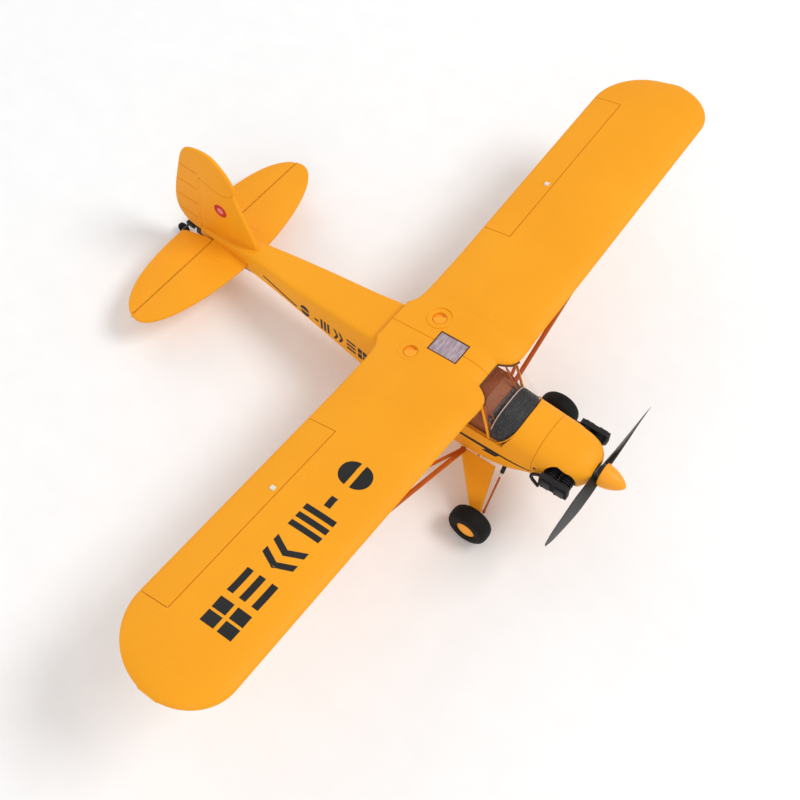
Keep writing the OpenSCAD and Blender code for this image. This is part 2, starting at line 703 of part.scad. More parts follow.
horn_foot_z = -hinge_top - 0.15;
module aileron_horn_left() color(white) at_horn() {
    translate([-0.6, 0, 0]) rotate([90, 0, 90]) difference() {
        linear_extrude(arm_t) polygon([[-1.3, -wing_arm - 1], [1.3, -wing_arm - 1], [9.6, horn_foot_z], [4.4, horn_foot_z]]);
        translate([0, -wing_arm, -1]) cylinder(r = hole_r, h = 5);
    }
    translate([-2.2, 4.2, horn_foot_z - 0.8]) cube([4.4, 6, 0.8]);
    translate([-1.5, 3.2, -0.5]) rotate([-10.5, 0, 0]) cube([3, 3.4, 1]);
}
module aileron_horn_right() mirror([1, 0, 0]) aileron_horn_left();

module aileron_servos() color(servo_blue) both_sides()
    at_horn() translate([0, servo_y - aileron_hinge_y, 0]) {
        translate([1.2, -6.4, -7.2]) cube([7.4, 17.6, 8.3]);
        translate([0.5, 0, 0]) x_cyl(shaft_r, 2.4);
    }

module servo_arm_left() color(white) at_horn()
    translate([0, servo_y - aileron_hinge_y, 0]) hanging() arm(wing_arm);
module servo_arm_right() mirror([1, 0, 0]) servo_arm_left();

// Straight rod with a pin at each end; pins point along dir
module pushrod(a, b, dir) {
    side = dir * rod_step;
    bar(a - side, b - side, rod_r);
    bar(a - side, a + dir * 1.1, pin_r);
    bar(b - side, b + dir * 1.1, pin_r);
}

module pushrod_left() color(steel) at_horn()
    pushrod([0, servo_y - aileron_hinge_y, -wing_arm], [0, 0, -wing_arm], [1, 0, 0]);
module pushrod_right() mirror([1, 0, 0]) pushrod_left();
module pushrod_elevator() color(steel)
    pushrod(elevator_servo_pivot - [0, 0, tail_arm],
        [elevator_servo_pivot.x, elevator_hinge.y, elevator_hinge.z - tail_arm], [1, 0, 0]);

rudder_axis = [0, -sin(rudder_rake), cos(rudder_rake)];
// Its pins are longer than the other rods', because it slopes across the plane of its arms
module pushrod_rudder() color(steel)
    pushrod(rudder_servo_pivot + [tail_arm, 0, 0] + rudder_axis * 0.4,
        rudder_hinge + rudder_axis * rudder_horn_v + [tail_arm, 0, 0], rudder_axis * 1.15);

// ---------------------------------------------------------------- running gear
leg_top = [21.4, -14.5, 18, -67.4];
leg_foot = [53.4, -22.6, -12.4, -87.8];
// Wire inside one leg: belly end, axle root, axle end
wire = [[16, 2, -69.6], [54.4, wheel_y, wheel_z], [track_half + 5, wheel_y, wheel_z]];
axle_r = 1.05;
leg_wire_r = 0.95;
module leg_wire(grow = 0) bar(wire[0], wire[1], leg_wire_r + grow);
module gear_wire() color(steel) {
    both_sides() {
        leg_wire();
        bar(wire[1] - [1.2, 0, 0], wire[2], axle_r);
    }
    translate([0, wire[0].y, wire[0].z]) x_cyl(axle_r, 2 * wire[0].x + 2.4);
}

module gear_legs() color(foam) both_sides() difference() {
    hull() {
        translate([leg_top[0], leg_top[1], leg_top[3] - 2.6]) cube([3, leg_top[2] - leg_top[1], 1]);
        translate([leg_foot[0] - 1.4, leg_foot[1], leg_foot[3]]) cube([2.4, leg_foot[2] - leg_foot[1], 1]);
    }
    fuselage_form(-0.05, [-24, -16, -8, -6, 0, 15, 28]);
    leg_wire(0.1);
}

module shock_struts() color(strut_brown) both_sides() {
    bar([22.4, -21, -67.6], [52.4, -24.4, -87.6], 0.8);
    bar([22.4, -21, -67.6], [27.4, -21.6, -71], 1.7);
}

tread_r = 4.5;
module tyre_left() color(black) translate([track_half, wheel_y, wheel_z]) rotate([0, 90, 0])
    rotate_extrude() difference() {
        hull()
            for (s = [-1, 1])
                translate([tyre_r - tread_r, s * (tyre_w / 2 - tread_r)]) circle(r = tread_r, $fn = 40);
        translate([0, -tyre_w]) square([hub_r, 2 * tyre_w]);
    }
module tyre_right() mirror([1, 0, 0]) tyre_left();

// Hub with a domed outer face; the axle's collar turns free in the hollow behind it
hub_r = 8;
module hub_left() color(foam) translate([track_half, wheel_y, wheel_z]) rotate([0, 90, 0])
    rotate_extrude() polygon([
        [axle_r + 0.06, -5.5], [hub_r, -5.5], [hub_r, 5], [7.2, 5.9], [5.6, 6.7], [3, 7.2],
        [0, 7.4], [0, 5.6], [3, 5.6], [3, 2.4], [axle_r + 0.06, 2.4]
    ]);
module hub_right() mirror([1, 0, 0]) hub_left();

module collar(offset, wide)
    translate([track_half + offset, wheel_y, wheel_z]) difference() {
        x_cyl(2.4, wide);
        x_cyl(axle_r, 10);
    }
module wheel_collars() color(steel) both_sides() {
    collar(3.6, 1.8);
    collar(-6.8, 2);
}

// ---------------------------------------------------------------- wing struts
strut_root = [25.6, 13, -66.4];
strut_front = [178, 11];
strut_rear = [188, 42];
function under_wing(p, drop) = [p.x, p.y, wing_rise(p.x) - drop];
module strut_left() color(strut_brown) {
    bar(strut_root, under_wing(strut_front, 2.4), 1.7);
    bar(strut_root, under_wing(strut_rear, 2), 1.2);
    translate(strut_root) sphere(r = 1.7, $fn = 24);
}
module strut_right() mirror([1, 0, 0]) strut_left();

module strut_clips() color(black) both_sides() {
    for (p = [strut_front, strut_rear])
        translate(under_wing(p, 0)) rotate([0, -dihedral, 0]) translate([-3, -2.4, -0.8]) cube([7, 4.8, 0.75]);
}

// ---------------------------------------------------------------- assembly
stand() fuselage_shell();
stand() cowl();
stand() firewall();
stand() cowl_screws();
stand() motor_stator();
stand() motor_bell();
stand() propeller();
stand() prop_nut();
stand() spinner();
stand() cylinder_bank_left();
stand() cylinder_bank_right();
stand() exhaust_pipes();
stand() battery();
stand() battery_tray();
stand() battery_hatch();
stand() control_board();
stand() servo_tray();
stand() tail_servos();
stand() wing();
stand() wing_screws();
stand() screw_seats();
stand() skylight();
stand() windshield();
stand() side_windows();
stand() window_posts();
stand() glare_shield();
stand() cabin_liner();
stand() stabiliser();
stand() fin();
stand() elevator();
stand() elevator_joiner();
stand() elevator_horn();
stand() rudder();
stand() rudder_horn();
stand() tail_wheel_bracket();
stand() tail_wheel();
stand() aileron_left();
stand() aileron_right();
stand() aileron_horn_left();
stand() aileron_horn_right();
stand() aileron_servos();
stand() servo_arm_left();
stand() servo_arm_right();
stand() servo_arm_elevator();
stand() servo_arm_rudder();
stand() pushrod_left();
stand() pushrod_right();
stand() pushrod_elevator();
stand() pushrod_rudder();
stand() gear_legs();
stand() gear_wire();
stand() shock_struts();
stand() tyre_left();
stand() tyre_right();
stand() hub_left();
stand() hub_right();
stand() wheel_collars();
stand() strut_left();
stand() strut_right();
stand() strut_clips();
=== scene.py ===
import json
import math

import bmesh
import bpy
import numpy as np
from mathutils import Matrix, Vector


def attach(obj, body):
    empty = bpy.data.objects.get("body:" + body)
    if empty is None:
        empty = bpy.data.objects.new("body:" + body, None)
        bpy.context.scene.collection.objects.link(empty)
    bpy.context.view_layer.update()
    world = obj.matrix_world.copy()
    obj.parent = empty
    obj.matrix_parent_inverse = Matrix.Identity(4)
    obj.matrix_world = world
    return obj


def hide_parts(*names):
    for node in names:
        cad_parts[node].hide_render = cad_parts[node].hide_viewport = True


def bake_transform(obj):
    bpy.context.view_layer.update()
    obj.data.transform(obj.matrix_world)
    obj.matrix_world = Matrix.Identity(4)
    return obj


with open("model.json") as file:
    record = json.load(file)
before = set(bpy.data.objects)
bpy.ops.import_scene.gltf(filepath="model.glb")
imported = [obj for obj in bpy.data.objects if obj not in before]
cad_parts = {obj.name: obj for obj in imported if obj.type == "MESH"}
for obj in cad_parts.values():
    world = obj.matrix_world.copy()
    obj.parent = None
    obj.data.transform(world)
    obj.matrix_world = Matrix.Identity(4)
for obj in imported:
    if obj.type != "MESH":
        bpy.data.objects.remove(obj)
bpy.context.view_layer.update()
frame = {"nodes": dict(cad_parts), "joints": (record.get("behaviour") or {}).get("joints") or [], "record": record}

# The shapes below are worked out in millimetres in the flying attitude: nose to -Y, span along
# X, wing leading edge at y = 0, wing seat at z = 0. LEVEL tips them into the row frame.
MM = 0.001
JOINTS = {j["name"]: j for j in frame["joints"]}
SPIN = Vector(JOINTS["propeller_spin"]["axis"])
STANCE = math.atan2(SPIN.z, -SPIN.y)
TIP = Matrix.Rotation(-STANCE, 4, "X")
ELEVATOR_HINGE = Vector((0, 278, -20))
ORIGIN = Vector(JOINTS["elevator_tilt"]["pos_m"]) - TIP @ (ELEVATOR_HINGE * MM)
LEVEL = Matrix.Translation(ORIGIN) @ TIP @ Matrix.Scale(MM, 4)


# ------------------------------------------------------------------ mesh helpers
def new_object(name, verts, faces):
    """A mesh object in level millimetres."""
    mesh = bpy.data.meshes.new(name)
    mesh.from_pydata([tuple(map(float, v)) for v in verts], [], faces)
    mesh.validate()
    ob = bpy.data.objects.new(name, mesh)
    bpy.context.scene.collection.objects.link(ob)
    return ob


def discard(ob):
    mesh = ob.data
    bpy.data.objects.remove(ob)
    if mesh.users == 0:
        bpy.data.meshes.remove(mesh)


def apply_modifiers(ob):
    graph = bpy.context.evaluated_depsgraph_get()
    done = bpy.data.meshes.new_from_object(ob.evaluated_get(graph))
    old = ob.data
    ob.modifiers.clear()
    ob.data = done
    bpy.data.meshes.remove(old)
    return ob


def boolean(ob, tool, operation="DIFFERENCE", keep_tool=False):
    modifier = ob.modifiers.new("cut", "BOOLEAN")
    modifier.operation = operation
    modifier.solver = "EXACT"
    modifier.object = tool
    apply_modifiers(ob)
    if not keep_tool:
        discard(tool)
    return ob


def join(name, parts):
    """One object from several, without welding them."""
    verts, faces = [], []
    for part in parts:
        start = len(verts)
        verts += [tuple(v.co) for v in part.data.vertices]
        faces += [[start + i for i in p.vertices] for p in part.data.polygons]
        discard(part)
    return new_object(name, verts, faces)


def outward(ob):
    """Turns every face outwards."""
    bm = bmesh.new()
    bm.from_mesh(ob.data)
    bmesh.ops.remove_doubles(bm, verts=bm.verts, dist=1e-4)
    bmesh.ops.dissolve_degenerate(bm, edges=bm.edges, dist=1e-4)
    bmesh.ops.recalc_face_normals(bm, faces=bm.faces)
    bm.to_mesh(ob.data)
    bm.free()
    return ob


def bevel(ob, width, segments=3, angle=40):
    modifier = ob.modifiers.new("bevel", "BEVEL")
    modifier.width = width
    modifier.segments = segments
    modifier.limit_method = "ANGLE"
    modifier.angle_limit = math.radians(angle)
    return apply_modifiers(ob)


def finish_piece(ob, body, material, replaced=(), sharp=32):
    """Shades a piece, moves it into the row frame, and ties it to its body, if it has only one."""
    outward(ob)
    ob.data.transform(LEVEL)
    ob.data.shade_smooth()
    ob.data.set_sharp_from_angle(angle=math.radians(sharp))
    ob.data.materials.clear()
    ob.data.materials.append(material)
    if body:
        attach(ob, body)
    if replaced:
        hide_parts(*replaced)
    return ob


def loft(name, rings, closed=False):
    """Skin through rings of equal length, capped unless the row of rings closes on itself."""
    n = len(rings[0])
    rows = len(rings)
    verts = [p for ring in rings for p in ring]
    faces = []
    for k in range(rows if closed else rows - 1):
        a, b = k * n, (k + 1) % rows * n
        faces += [[a + i, a + (i + 1) % n, b + (i + 1) % n, b + i] for i in range(n)]
    if not closed:
        faces += [list(range(n))[::-1], list(range((rows - 1) * n, rows * n))]
    return new_object(name, verts, faces)


def box_at(name, low, high):
    (x0, y0, z0), (x1, y1, z1) = low, high
    rings = [[(x0, y0, z), (x1, y0, z), (x1, y1, z), (x0, y1, z)] for z in (z0, z1)]
    return loft(name, rings)


def prism(name, outline, low, high, place):
    """Straight prism: outline points (u, v) swept from low to high; place maps (u, v, w)."""
    rings = [[place(u, v, w) for u, v in outline] for w in (low, high)]
    return outward(loft(name, rings))


def plan(u, v, w):
    """Place for an outline seen from above."""
    return (u, v, w)


def side_view(u, v, w):
    """Place for an outline seen from the side: (back, up), swept across."""
    return (w, u, v)


def moved(ob, matrix):
    ob.data.transform(matrix)
    return ob


FLIP = Matrix.Scale(-1, 4, (1, 0, 0))


def mirrored(ob, name):
    """A copy on the other side of the aeroplane."""
    verts = [(-v.co.x, v.co.y, v.co.z) for v in ob.data.vertices]
    faces = [list(p.vertices)[::-1] for p in ob.data.polygons]
    return new_object(name, verts, faces)


def both(name, ob):
    return join(name, [mirrored(ob, "side"), ob])


def frame_along(direction):
    z = Vector(direction).normalized()
    x = z.orthogonal().normalized()
    return x, z.cross(x)


def revolve(name, profile, origin, axis, steps=64):
    """Turned form: profile points are (radius, distance along axis)."""
    x, y = frame_along(axis)
    z = Vector(axis).normalized()
    turns = [2 * math.pi * i / steps for i in range(steps)]
    rings = [
        [Vector(origin) + z * h + (x * math.cos(t) + y * math.sin(t)) * max(r, 1e-3) for t in turns]
        for r, h in profile
    ]
    return outward(loft(name, rings))


def turned_ring(name, profile, origin, axis, steps=64):
    """Turned form with a hole: the profile closes on itself."""
    x, y = frame_along(axis)
    z = Vector(axis).normalized()
    rings = []
    for i in range(steps):
        t = 2 * math.pi * i / steps
        out = x * math.cos(t) + y * math.sin(t)
        rings.append([Vector(origin) + z * h + out * r for r, h in profile])
    return outward(loft(name, rings, closed=True))


def rod(name, points, radius, steps=20, flat=1.0, rounded=0.35):
    """Round or oval bar along points, with softened ends."""
    pts = [Vector(p) for p in points]
    rings = []
    last = len(pts) - 1
    up = Vector((0, 0, 1))
    for i, p in enumerate(pts):
        ahead = (pts[min(i + 1, last)] - pts[max(i - 1, 0)]).normalized()
        side = ahead.cross(up)
        side = side.normalized() if side.length > 0.05 else ahead.orthogonal().normalized()
        top = side.cross(ahead)

        def ring(shift, share):
            return [
                p + ahead * shift
                + side * math.cos(t) * radius * share
                + top * math.sin(t) * radius * share * flat
                for t in (2 * math.pi * k / steps for k in range(steps))
            ]

        soft = rounded * radius
        if i == 0:
            rings += [ring(0, 1 - rounded), ring(soft * 0.3, 1 - rounded * 0.3), ring(soft, 1)]
        elif i == last:
            rings += [ring(-soft, 1), ring(-soft * 0.3, 1 - rounded * 0.3), ring(0, 1 - rounded)]
        else:
            rings.append(ring(0, 1))
    return outward(loft(name, rings))


def inset(outline, distance):
    """The closed outline moved inwards by distance (outline runs anticlockwise)."""
    pts = np.array(outline, float)
    before = pts - np.roll(pts, 1, 0)
    after = np.roll(pts, -1, 0) - pts
    before /= np.linalg.norm(before, axis=1)[:, None]
    after /= np.linalg.norm(after, axis=1)[:, None]
    n1 = np.c_[-before[:, 1], before[:, 0]]
    n2 = np.c_[-after[:, 1], after[:, 0]]
    mean = n1 + n2
    size = np.maximum(np.linalg.norm(mean, axis=1), 0.7)
    mean = mean / size[:, None]
    share = np.maximum((mean * n1).sum(1), 0.6)
    return pts + mean / share[:, None] * distance


def slab(name, outline, half, rim, place, steps=8):
    """Flat foam part with a rounded rim; place maps (u, v, w) into level millimetres."""
    outline = [p for i, p in enumerate(outline) if math.dist(p, outline[i - 1]) > 0.05]
    area = sum(a[0] * b[1] - b[0] * a[1] for a, b in zip(outline, outline[1:] + outline[:1]))
    if area < 0:
        outline = outline[::-1]
    rings = []
    for k in range(steps + 1):
        t = math.pi * (k / steps - 0.5)
        ring = inset(outline, rim * (1 - math.cos(t)))
        w = math.copysign(half - rim, t) * (abs(t) > 1e-9) + rim * math.sin(t)
        rings.append([place(u, v, w) for u, v in ring])
    return outward(loft(name, rings))


def spread(outline, step):
    """More points along a closed outline, step apart at most."""
    out = []
    for a, b in zip(outline, outline[1:] + outline[:1]):
        n = max(1, math.ceil(math.dist(a, b) / step))
        out += [(a[0] + (b[0] - a[0]) * i / n, a[1] + (b[1] - a[1]) * i / n) for i in range(n)]
    return out


# ------------------------------------------------------------------ curves from tables
def straight(x, table):
    return float(np.interp(x, [a for a, _ in table], [b for _, b in table]))


def gentle(x, table):
    """Smooth curve through a table's points that never overshoots them."""
    xs = np.array([a for a, _ in table], float)
    ys = np.array([b for _, b in table], float)
    if x <= xs[0]:
        return float(ys[0])
    if x >= xs[-1]:
        return float(ys[-1])
    h = np.diff(xs)
    d = np.diff(ys) / h
    m = np.zeros(len(xs))
    m[0], m[-1] = d[0], d[-1]
    for i in range(1, len(xs) - 1):
        if d[i - 1] * d[i] > 0:
            w1, w2 = 2 * h[i] + h[i - 1], h[i] + 2 * h[i - 1]
            m[i] = (w1 + w2) / (w1 / d[i - 1] + w2 / d[i])
    i = int(np.searchsorted(xs, x, side="right")) - 1
    t = (x - xs[i]) / h[i]
    return float(
        ys[i] * (1 + 2 * t) * (1 - t) ** 2
        + m[i] * h[i] * t * (1 - t) ** 2
        + ys[i + 1] * t * t * (3 - 2 * t)
        + m[i + 1] * h[i] * t * t * (t - 1)
    )


def step_between(x, low, high):
    t = min(max((x - low) / (high - low), 0.0), 1.0)
    return t * t * (3 - 2 * t)


# ------------------------------------------------------------------ materials
class Paint:
    """Short way to write a node material round one Principled shader."""

    def __init__(self, name):
        self.material = bpy.data.materials.new(name)
        self.material.use_nodes = True
        self.tree = self.material.node_tree
        self.shader = self.tree.nodes["Principled BSDF"]
        self.coords = self.tree.nodes.new("ShaderNodeTexCoord").outputs["Object"]

    def node(self, kind, inputs=None, **settings):
        made = self.tree.nodes.new(kind)
        for key, value in settings.items():
            setattr(made, key, value)
        for key, value in (inputs or {}).items():
            if isinstance(value, bpy.types.NodeSocket):
                self.tree.links.new(value, made.inputs[key])
            else:
                made.inputs[key].default_value = value
        return made

    def stretched(self, scale):
        return self.node("ShaderNodeMapping", {"Vector": self.coords, "Scale": scale}).outputs[0]

    def noise(self, scale, detail=3.0, rough=0.5, vector=None, distortion=0.0):
        return self.node("ShaderNodeTexNoise", {
            "Vector": vector or self.coords, "Scale": scale, "Detail": detail,
            "Roughness": rough, "Distortion": distortion,
        }).outputs[0]

    def cells(self, scale, feature="DISTANCE_TO_EDGE"):
        made = self.node("ShaderNodeTexVoronoi", feature=feature)
        made.inputs["Scale"].default_value = scale
        self.tree.links.new(self.coords, made.inputs["Vector"])
        return made.outputs["Distance"]

    def ramp(self, fac, stops):
        made = self.node("ShaderNodeValToRGB", {"Fac": fac})
        ramp = made.color_ramp
        while len(ramp.elements) < len(stops):
            ramp.elements.new(0.5)
        for element, (at, colour) in zip(ramp.elements, stops):
            element.position = at
            element.color = (*colour, 1)
        return made.outputs["Color"]

    def range(self, value, low, high, start=0.0, end=1.0):
        return self.node("ShaderNodeMapRange", {
            "Value": value, "From Min": start, "From Max": end, "To Min": low, "To Max": high,
        }).outputs[0]

    def mix(self, fac, a, b, blend="MIX"):
        made = self.node("ShaderNodeMix", data_type="RGBA", blend_type=blend)
        for socket, value in ((made.inputs[0], fac), (made.inputs[6], a), (made.inputs[7], b)):
            if isinstance(value, bpy.types.NodeSocket):
                self.tree.links.new(value, socket)
            else:
                socket.default_value = value if isinstance(value, float) else (*value, 1)
        return made.outputs[2]

    def bump(self, height, distance, strength=1.0, under=None):
        inputs = {"Height": height, "Distance": distance, "Strength": strength}
        if under is not None:
            inputs["Normal"] = under
        return self.node("ShaderNodeBump", inputs).outputs[0]

    def wire(self, **sockets):
        """Names use _ for a space: Base_Color=..."""
        for key, value in sockets.items():
            socket = self.shader.inputs[key.replace("_", " ")]
            if isinstance(value, bpy.types.NodeSocket):
                self.tree.links.new(value, socket)
            elif isinstance(value, tuple) and len(value) == 3:
                socket.default_value = (*value, 1)
            else:
                socket.default_value = value
        return self


def foam_paint(name, dark, light, rough=(0.4, 0.52), beads=1.0):
    """Smooth moulded bead foam: soft mottling, faint bead borders, satin skin."""
    p = Paint(name)
    broad = p.noise(9.0, 2.0, 0.5)
    fine = p.noise(140.0, 4.0, 0.6)
    colour = p.ramp(broad, [(0.3, dark), (0.7, light)])
    border = p.range(p.cells(330.0), 0.0, 1.0, 0.0, 0.12)
    colour = p.mix(p.range(fine, 0.0, 0.1), colour, tuple(c * 0.9 for c in dark))
    colour = p.mix(p.range(border, 0.05 * beads, 0.0), colour, tuple(c * 0.8 for c in dark))
    skin = p.bump(border, 0.00006 * beads, 0.6)
    skin = p.bump(fine, 0.00012, 0.5, under=skin)
    p.wire(Base_Color=colour, Roughness=p.range(fine, *rough), Normal=skin,
           Specular_IOR_Level=0.22)
    return p.material


def plastic_paint(name, dark, light, rough=(0.3, 0.45), grain=0.00005, scale=260.0, coat=0.0):
    """Moulded or painted plastic with a fine grain."""
    p = Paint(name)
    broad = p.noise(24.0, 3.0, 0.55)
    fine = p.noise(scale, 5.0, 0.6)
    colour = p.ramp(broad, [(0.3, dark), (0.7, light)])
    p.wire(Base_Color=colour, Roughness=p.range(fine, *rough),
           Normal=p.bump(fine, grain, 0.6), Coat_Weight=coat, Coat_Roughness=0.25,
           Specular_IOR_Level=0.32)
    return p.material


def metal_paint(name, dark, light, rough=(0.25, 0.42), along=(30.0, 1200.0, 1200.0)):
    """Drawn or turned metal with fine lines."""
    p = Paint(name)
    lines = p.noise(1.0, 3.0, 0.6, vector=p.stretched(along))
    p.wire(Base_Color=p.ramp(lines, [(0.3, dark), (0.7, light)]), Metallic=1.0,
           Roughness=p.range(lines, *rough), Normal=p.bump(lines, 0.00002, 0.5))
    return p.material


def rubber_paint(name):
    """Dull foam rubber with dust in its pores."""
    p = Paint(name)
    pores = p.cells(900.0, "F1")
    dust = p.noise(60.0, 5.0, 0.65)
    colour = p.ramp(dust, [(0.35, (0.004, 0.004, 0.004)), (0.8, (0.010, 0.009, 0.008))])
    p.wire(Base_Color=colour, Roughness=p.range(dust, 0.62, 0.8),
           Normal=p.bump(pores, 0.0001, 0.5), Specular_IOR_Level=0.2)
    return p.material


def wood_paint(name):
    """Thin plywood with grain along the aeroplane."""
    p = Paint(name)
    grain = p.noise(1.0, 6.0, 0.65, vector=p.stretched((420.0, 26.0, 420.0)), distortion=0.6)
    colour = p.ramp(grain, [(0.3, (0.42, 0.26, 0.12)), (0.7, (0.62, 0.43, 0.24))])
    p.wire(Base_Color=colour, Roughness=p.range(grain, 0.55, 0.72),
           Normal=p.bump(grain, 0.00008, 0.5))
    return p.material


def board_paint(name):
    """Green circuit board with copper tracks under the lacquer."""
    p = Paint(name)
    tracks = p.node("ShaderNodeTexBrick", {
        "Vector": p.coords, "Scale": 260.0, "Mortar Size": 0.012,
        "Color1": (0.006, 0.07, 0.022, 1), "Color2": (0.008, 0.09, 0.03, 1),
        "Mortar": (0.05, 0.2, 0.06, 1),
    }).outputs[0]
    fine = p.noise(500.0, 3.0)
    p.wire(Base_Color=tracks, Roughness=p.range(fine, 0.3, 0.42))
    return p.material


def glazing_paint(name, tint, haze, rough, cover):
    """Thin clear moulding: mostly see-through, with a milky haze in fine streaks."""
    p = Paint(name)
    scuffs = p.noise(1.0, 5.0, 0.7, vector=p.stretched((90.0, 520.0, 520.0)), distortion=0.4)
    colour = p.ramp(scuffs, [(0.35, tint), (0.75, haze)])
    p.wire(Base_Color=colour, Roughness=p.range(scuffs, *rough), Specular_IOR_Level=0.3,
           Alpha=p.range(scuffs, *cover, 0.3, 0.75), Normal=p.bump(scuffs, 0.00003, 0.3))
    return p.material


FOAM = foam_paint("foam", (0.870, 0.335, 0.006), (0.925, 0.375, 0.010), (0.5, 0.62))
YELLOW = plastic_paint("moulded_yellow", (0.90, 0.335, 0.010), (0.955, 0.375, 0.015), (0.38, 0.5))
BLACK = plastic_paint("black_plastic", (0.006, 0.006, 0.007), (0.014, 0.014, 0.015), (0.32, 0.5))
BLADE = plastic_paint("blade_black", (0.007, 0.007, 0.008), (0.014, 0.014, 0.014), (0.3, 0.42))
VINYL = plastic_paint("marking_black", (0.006, 0.006, 0.007), (0.012, 0.012, 0.013), (0.42, 0.6))
PANEL = plastic_paint("glare_panel", (0.007, 0.008, 0.009), (0.014, 0.015, 0.017), (0.4, 0.52))
# Brown for the cabin liner: the inside of the yellow foam cabin, painted darker as the shade it lies in.
CABIN = plastic_paint("cabin_brown", (0.27, 0.062, 0.006), (0.36, 0.092, 0.010), (0.4, 0.58))
CABIN_DARK = plastic_paint("cabin_dark", (0.045, 0.016, 0.008), (0.075, 0.026, 0.012), (0.35, 0.5))
STRUT = plastic_paint("strut_brown", (0.42, 0.082, 0.006), (0.54, 0.118, 0.010), (0.34, 0.5))
EDGE = plastic_paint("glazing_edge", (0.10, 0.030, 0.008), (0.16, 0.050, 0.014), (0.4, 0.55))
# Darker orange for the aileron hinge skins: painted shade of the hinge groove, on the same foam.
SEAM = plastic_paint("hinge_groove_shade", (0.62, 0.17, 0.004), (0.72, 0.21, 0.006), (0.55, 0.7))
# Pale colour for the glare panel's rear edge: a painted highlight along that edge.
GLARE_HIGHLIGHT = plastic_paint("glare_edge_highlight", (0.50, 0.36, 0.30), (0.62, 0.46, 0.38), (0.4, 0.55))
NYLON = plastic_paint("white_nylon", (0.70, 0.66, 0.58), (0.82, 0.78, 0.70), (0.38, 0.5))
SERVO = plastic_paint("servo_case", (0.010, 0.022, 0.075), (0.018, 0.034, 0.11), (0.25, 0.38))
WRAP = plastic_paint("battery_wrap", (0.008, 0.035, 0.19), (0.014, 0.05, 0.25), (0.15, 0.3),
                     coat=0.5)
RED = plastic_paint("roundel_red", (0.50, 0.012, 0.022), (0.60, 0.022, 0.034), (0.4, 0.55))
PINK = plastic_paint("roundel_pale", (0.72, 0.20, 0.20), (0.80, 0.27, 0.26), (0.4, 0.55))
STEEL = metal_paint("steel_wire", (0.45, 0.46, 0.48), (0.62, 0.63, 0.65))
CAN = metal_paint("motor_can", (0.10, 0.10, 0.11), (0.2, 0.2, 0.21), along=(900.0, 40.0, 900.0))
RUBBER = rubber_paint("tyre_rubber")
PLYWOOD = wood_paint("plywood")
BOARD = board_paint("circuit_board")
GLASS = glazing_paint("glazing", (0.40, 0.36, 0.36), (0.66, 0.62, 0.64), (0.12, 0.26),
                      (0.008, 0.035))
HAZY = glazing_paint("skylight_glazing", (0.36, 0.26, 0.31), (0.66, 0.57, 0.64), (0.2, 0.4),
                     (0.62, 0.85))

SLOT_PAINT = {
    "foam": FOAM, "moulded_yellow": YELLOW, "black_plastic": BLACK, "glazing": GLASS,
    "cabin_brown": CABIN, "strut_brown": STRUT, "glare_panel": PANEL, "steel_wire": STEEL,
    "motor_can": CAN, "plywood": PLYWOOD, "servo_case": SERVO, "white_nylon": NYLON,
    "circuit_board": BOARD, "battery_wrap": WRAP, "tyre_rubber": RUBBER,
}
for part in frame["record"]["subparts"]:
    node = frame["nodes"][part["node"]]
    node.data.materials.clear()
    node.data.materials.append(SLOT_PAINT[part["material_slot"]])
    node.data.shade_smooth()
    node.data.set_sharp_from_angle(angle=math.radians(32))

# ------------------------------------------------------------------ wing form
HALF_SPAN = 325.0
WING_CHORD = 91.5
DIHEDRAL_SLOPE = 0.07
WING_DEPTH = 9.6
PANEL_X = 45.0
TIP_LE_X, TIP_TE_X, TIP_Y = 292.0, 277.0, 39.0
AILERON_IN, AILERON_OUT = 110.0, 277.0
HINGE_Y = 67.3
RIB_FIRST, RIB_PITCH = 37.0, 30.0
LE_TABLE = [(0, 13), (12, 13), (14.5, 8.4), (17.5, 4.6), (21.5, 2), (27, 1), (PANEL_X, 0)]
TE_TABLE = [(0, 99.3), (20, 99.3), (26, 94.8), (PANEL_X, 92.3), (76, WING_CHORD)]
RISE_TABLE = [(0, 0), (27, 0), (36, 2.6), (PANEL_X, 7.4)]
DEPTH_TABLE = [(0, 9.3), (14.5, 9.8), (27, 12), (36, 11.6), (PANEL_X, WING_DEPTH)]
TE_SHARE = [(0, 0.6), (27, 0.5), (PANEL_X, 0.12)]


def tip_part(x, start):
    return 0.0 if x <= start else min(0.985, (x - start) / (HALF_SPAN - start))


def wing_le(x):
    if x <= PANEL_X:
        return straight(x, LE_TABLE)
    return TIP_Y * (1 - math.sqrt(1 - tip_part(x, TIP_LE_X) ** 2))


def wing_te(x):
    if x <= TIP_TE_X:
        return straight(x, TE_TABLE)
    return TIP_Y + (WING_CHORD - TIP_Y) * math.sqrt(1 - tip_part(x, TIP_TE_X) ** 2)


def plain_rise(x):
    if x <= PANEL_X:
        return straight(x, RISE_TABLE)
    return 4.25 + DIHEDRAL_SLOPE * x + 1.2 * tip_part(x, TIP_TE_X) ** 3


def wing_rise(x):
    """The rise, with its corner at the panel joint eased."""
    return sum(plain_rise(abs(x + d)) for d in (-2.4, -1.2, 0, 1.2, 2.4)) / 5


def wing_thick(x):
    depth = straight(x, DEPTH_TABLE) if x <= PANEL_X else WING_DEPTH
    if x <= TIP_TE_X:
        return depth
    return depth * ((wing_te(x) - wing_le(x)) / WING_CHORD) ** 0.8


def upper(s, te):
    if s < 0.3:
        return 0.3 + 0.7 * math.sqrt(max(0.0, 1 - ((0.3 - s) / 0.3) ** 2))
    return te + (1 - te) * (1 - ((s - 0.3) / 0.7) ** 1.8)


def lower(s):
    return 0.3 * (1 - math.sqrt(max(0.0, 1 - ((0.15 - s) / 0.15) ** 2))) if s < 0.15 else 0.0


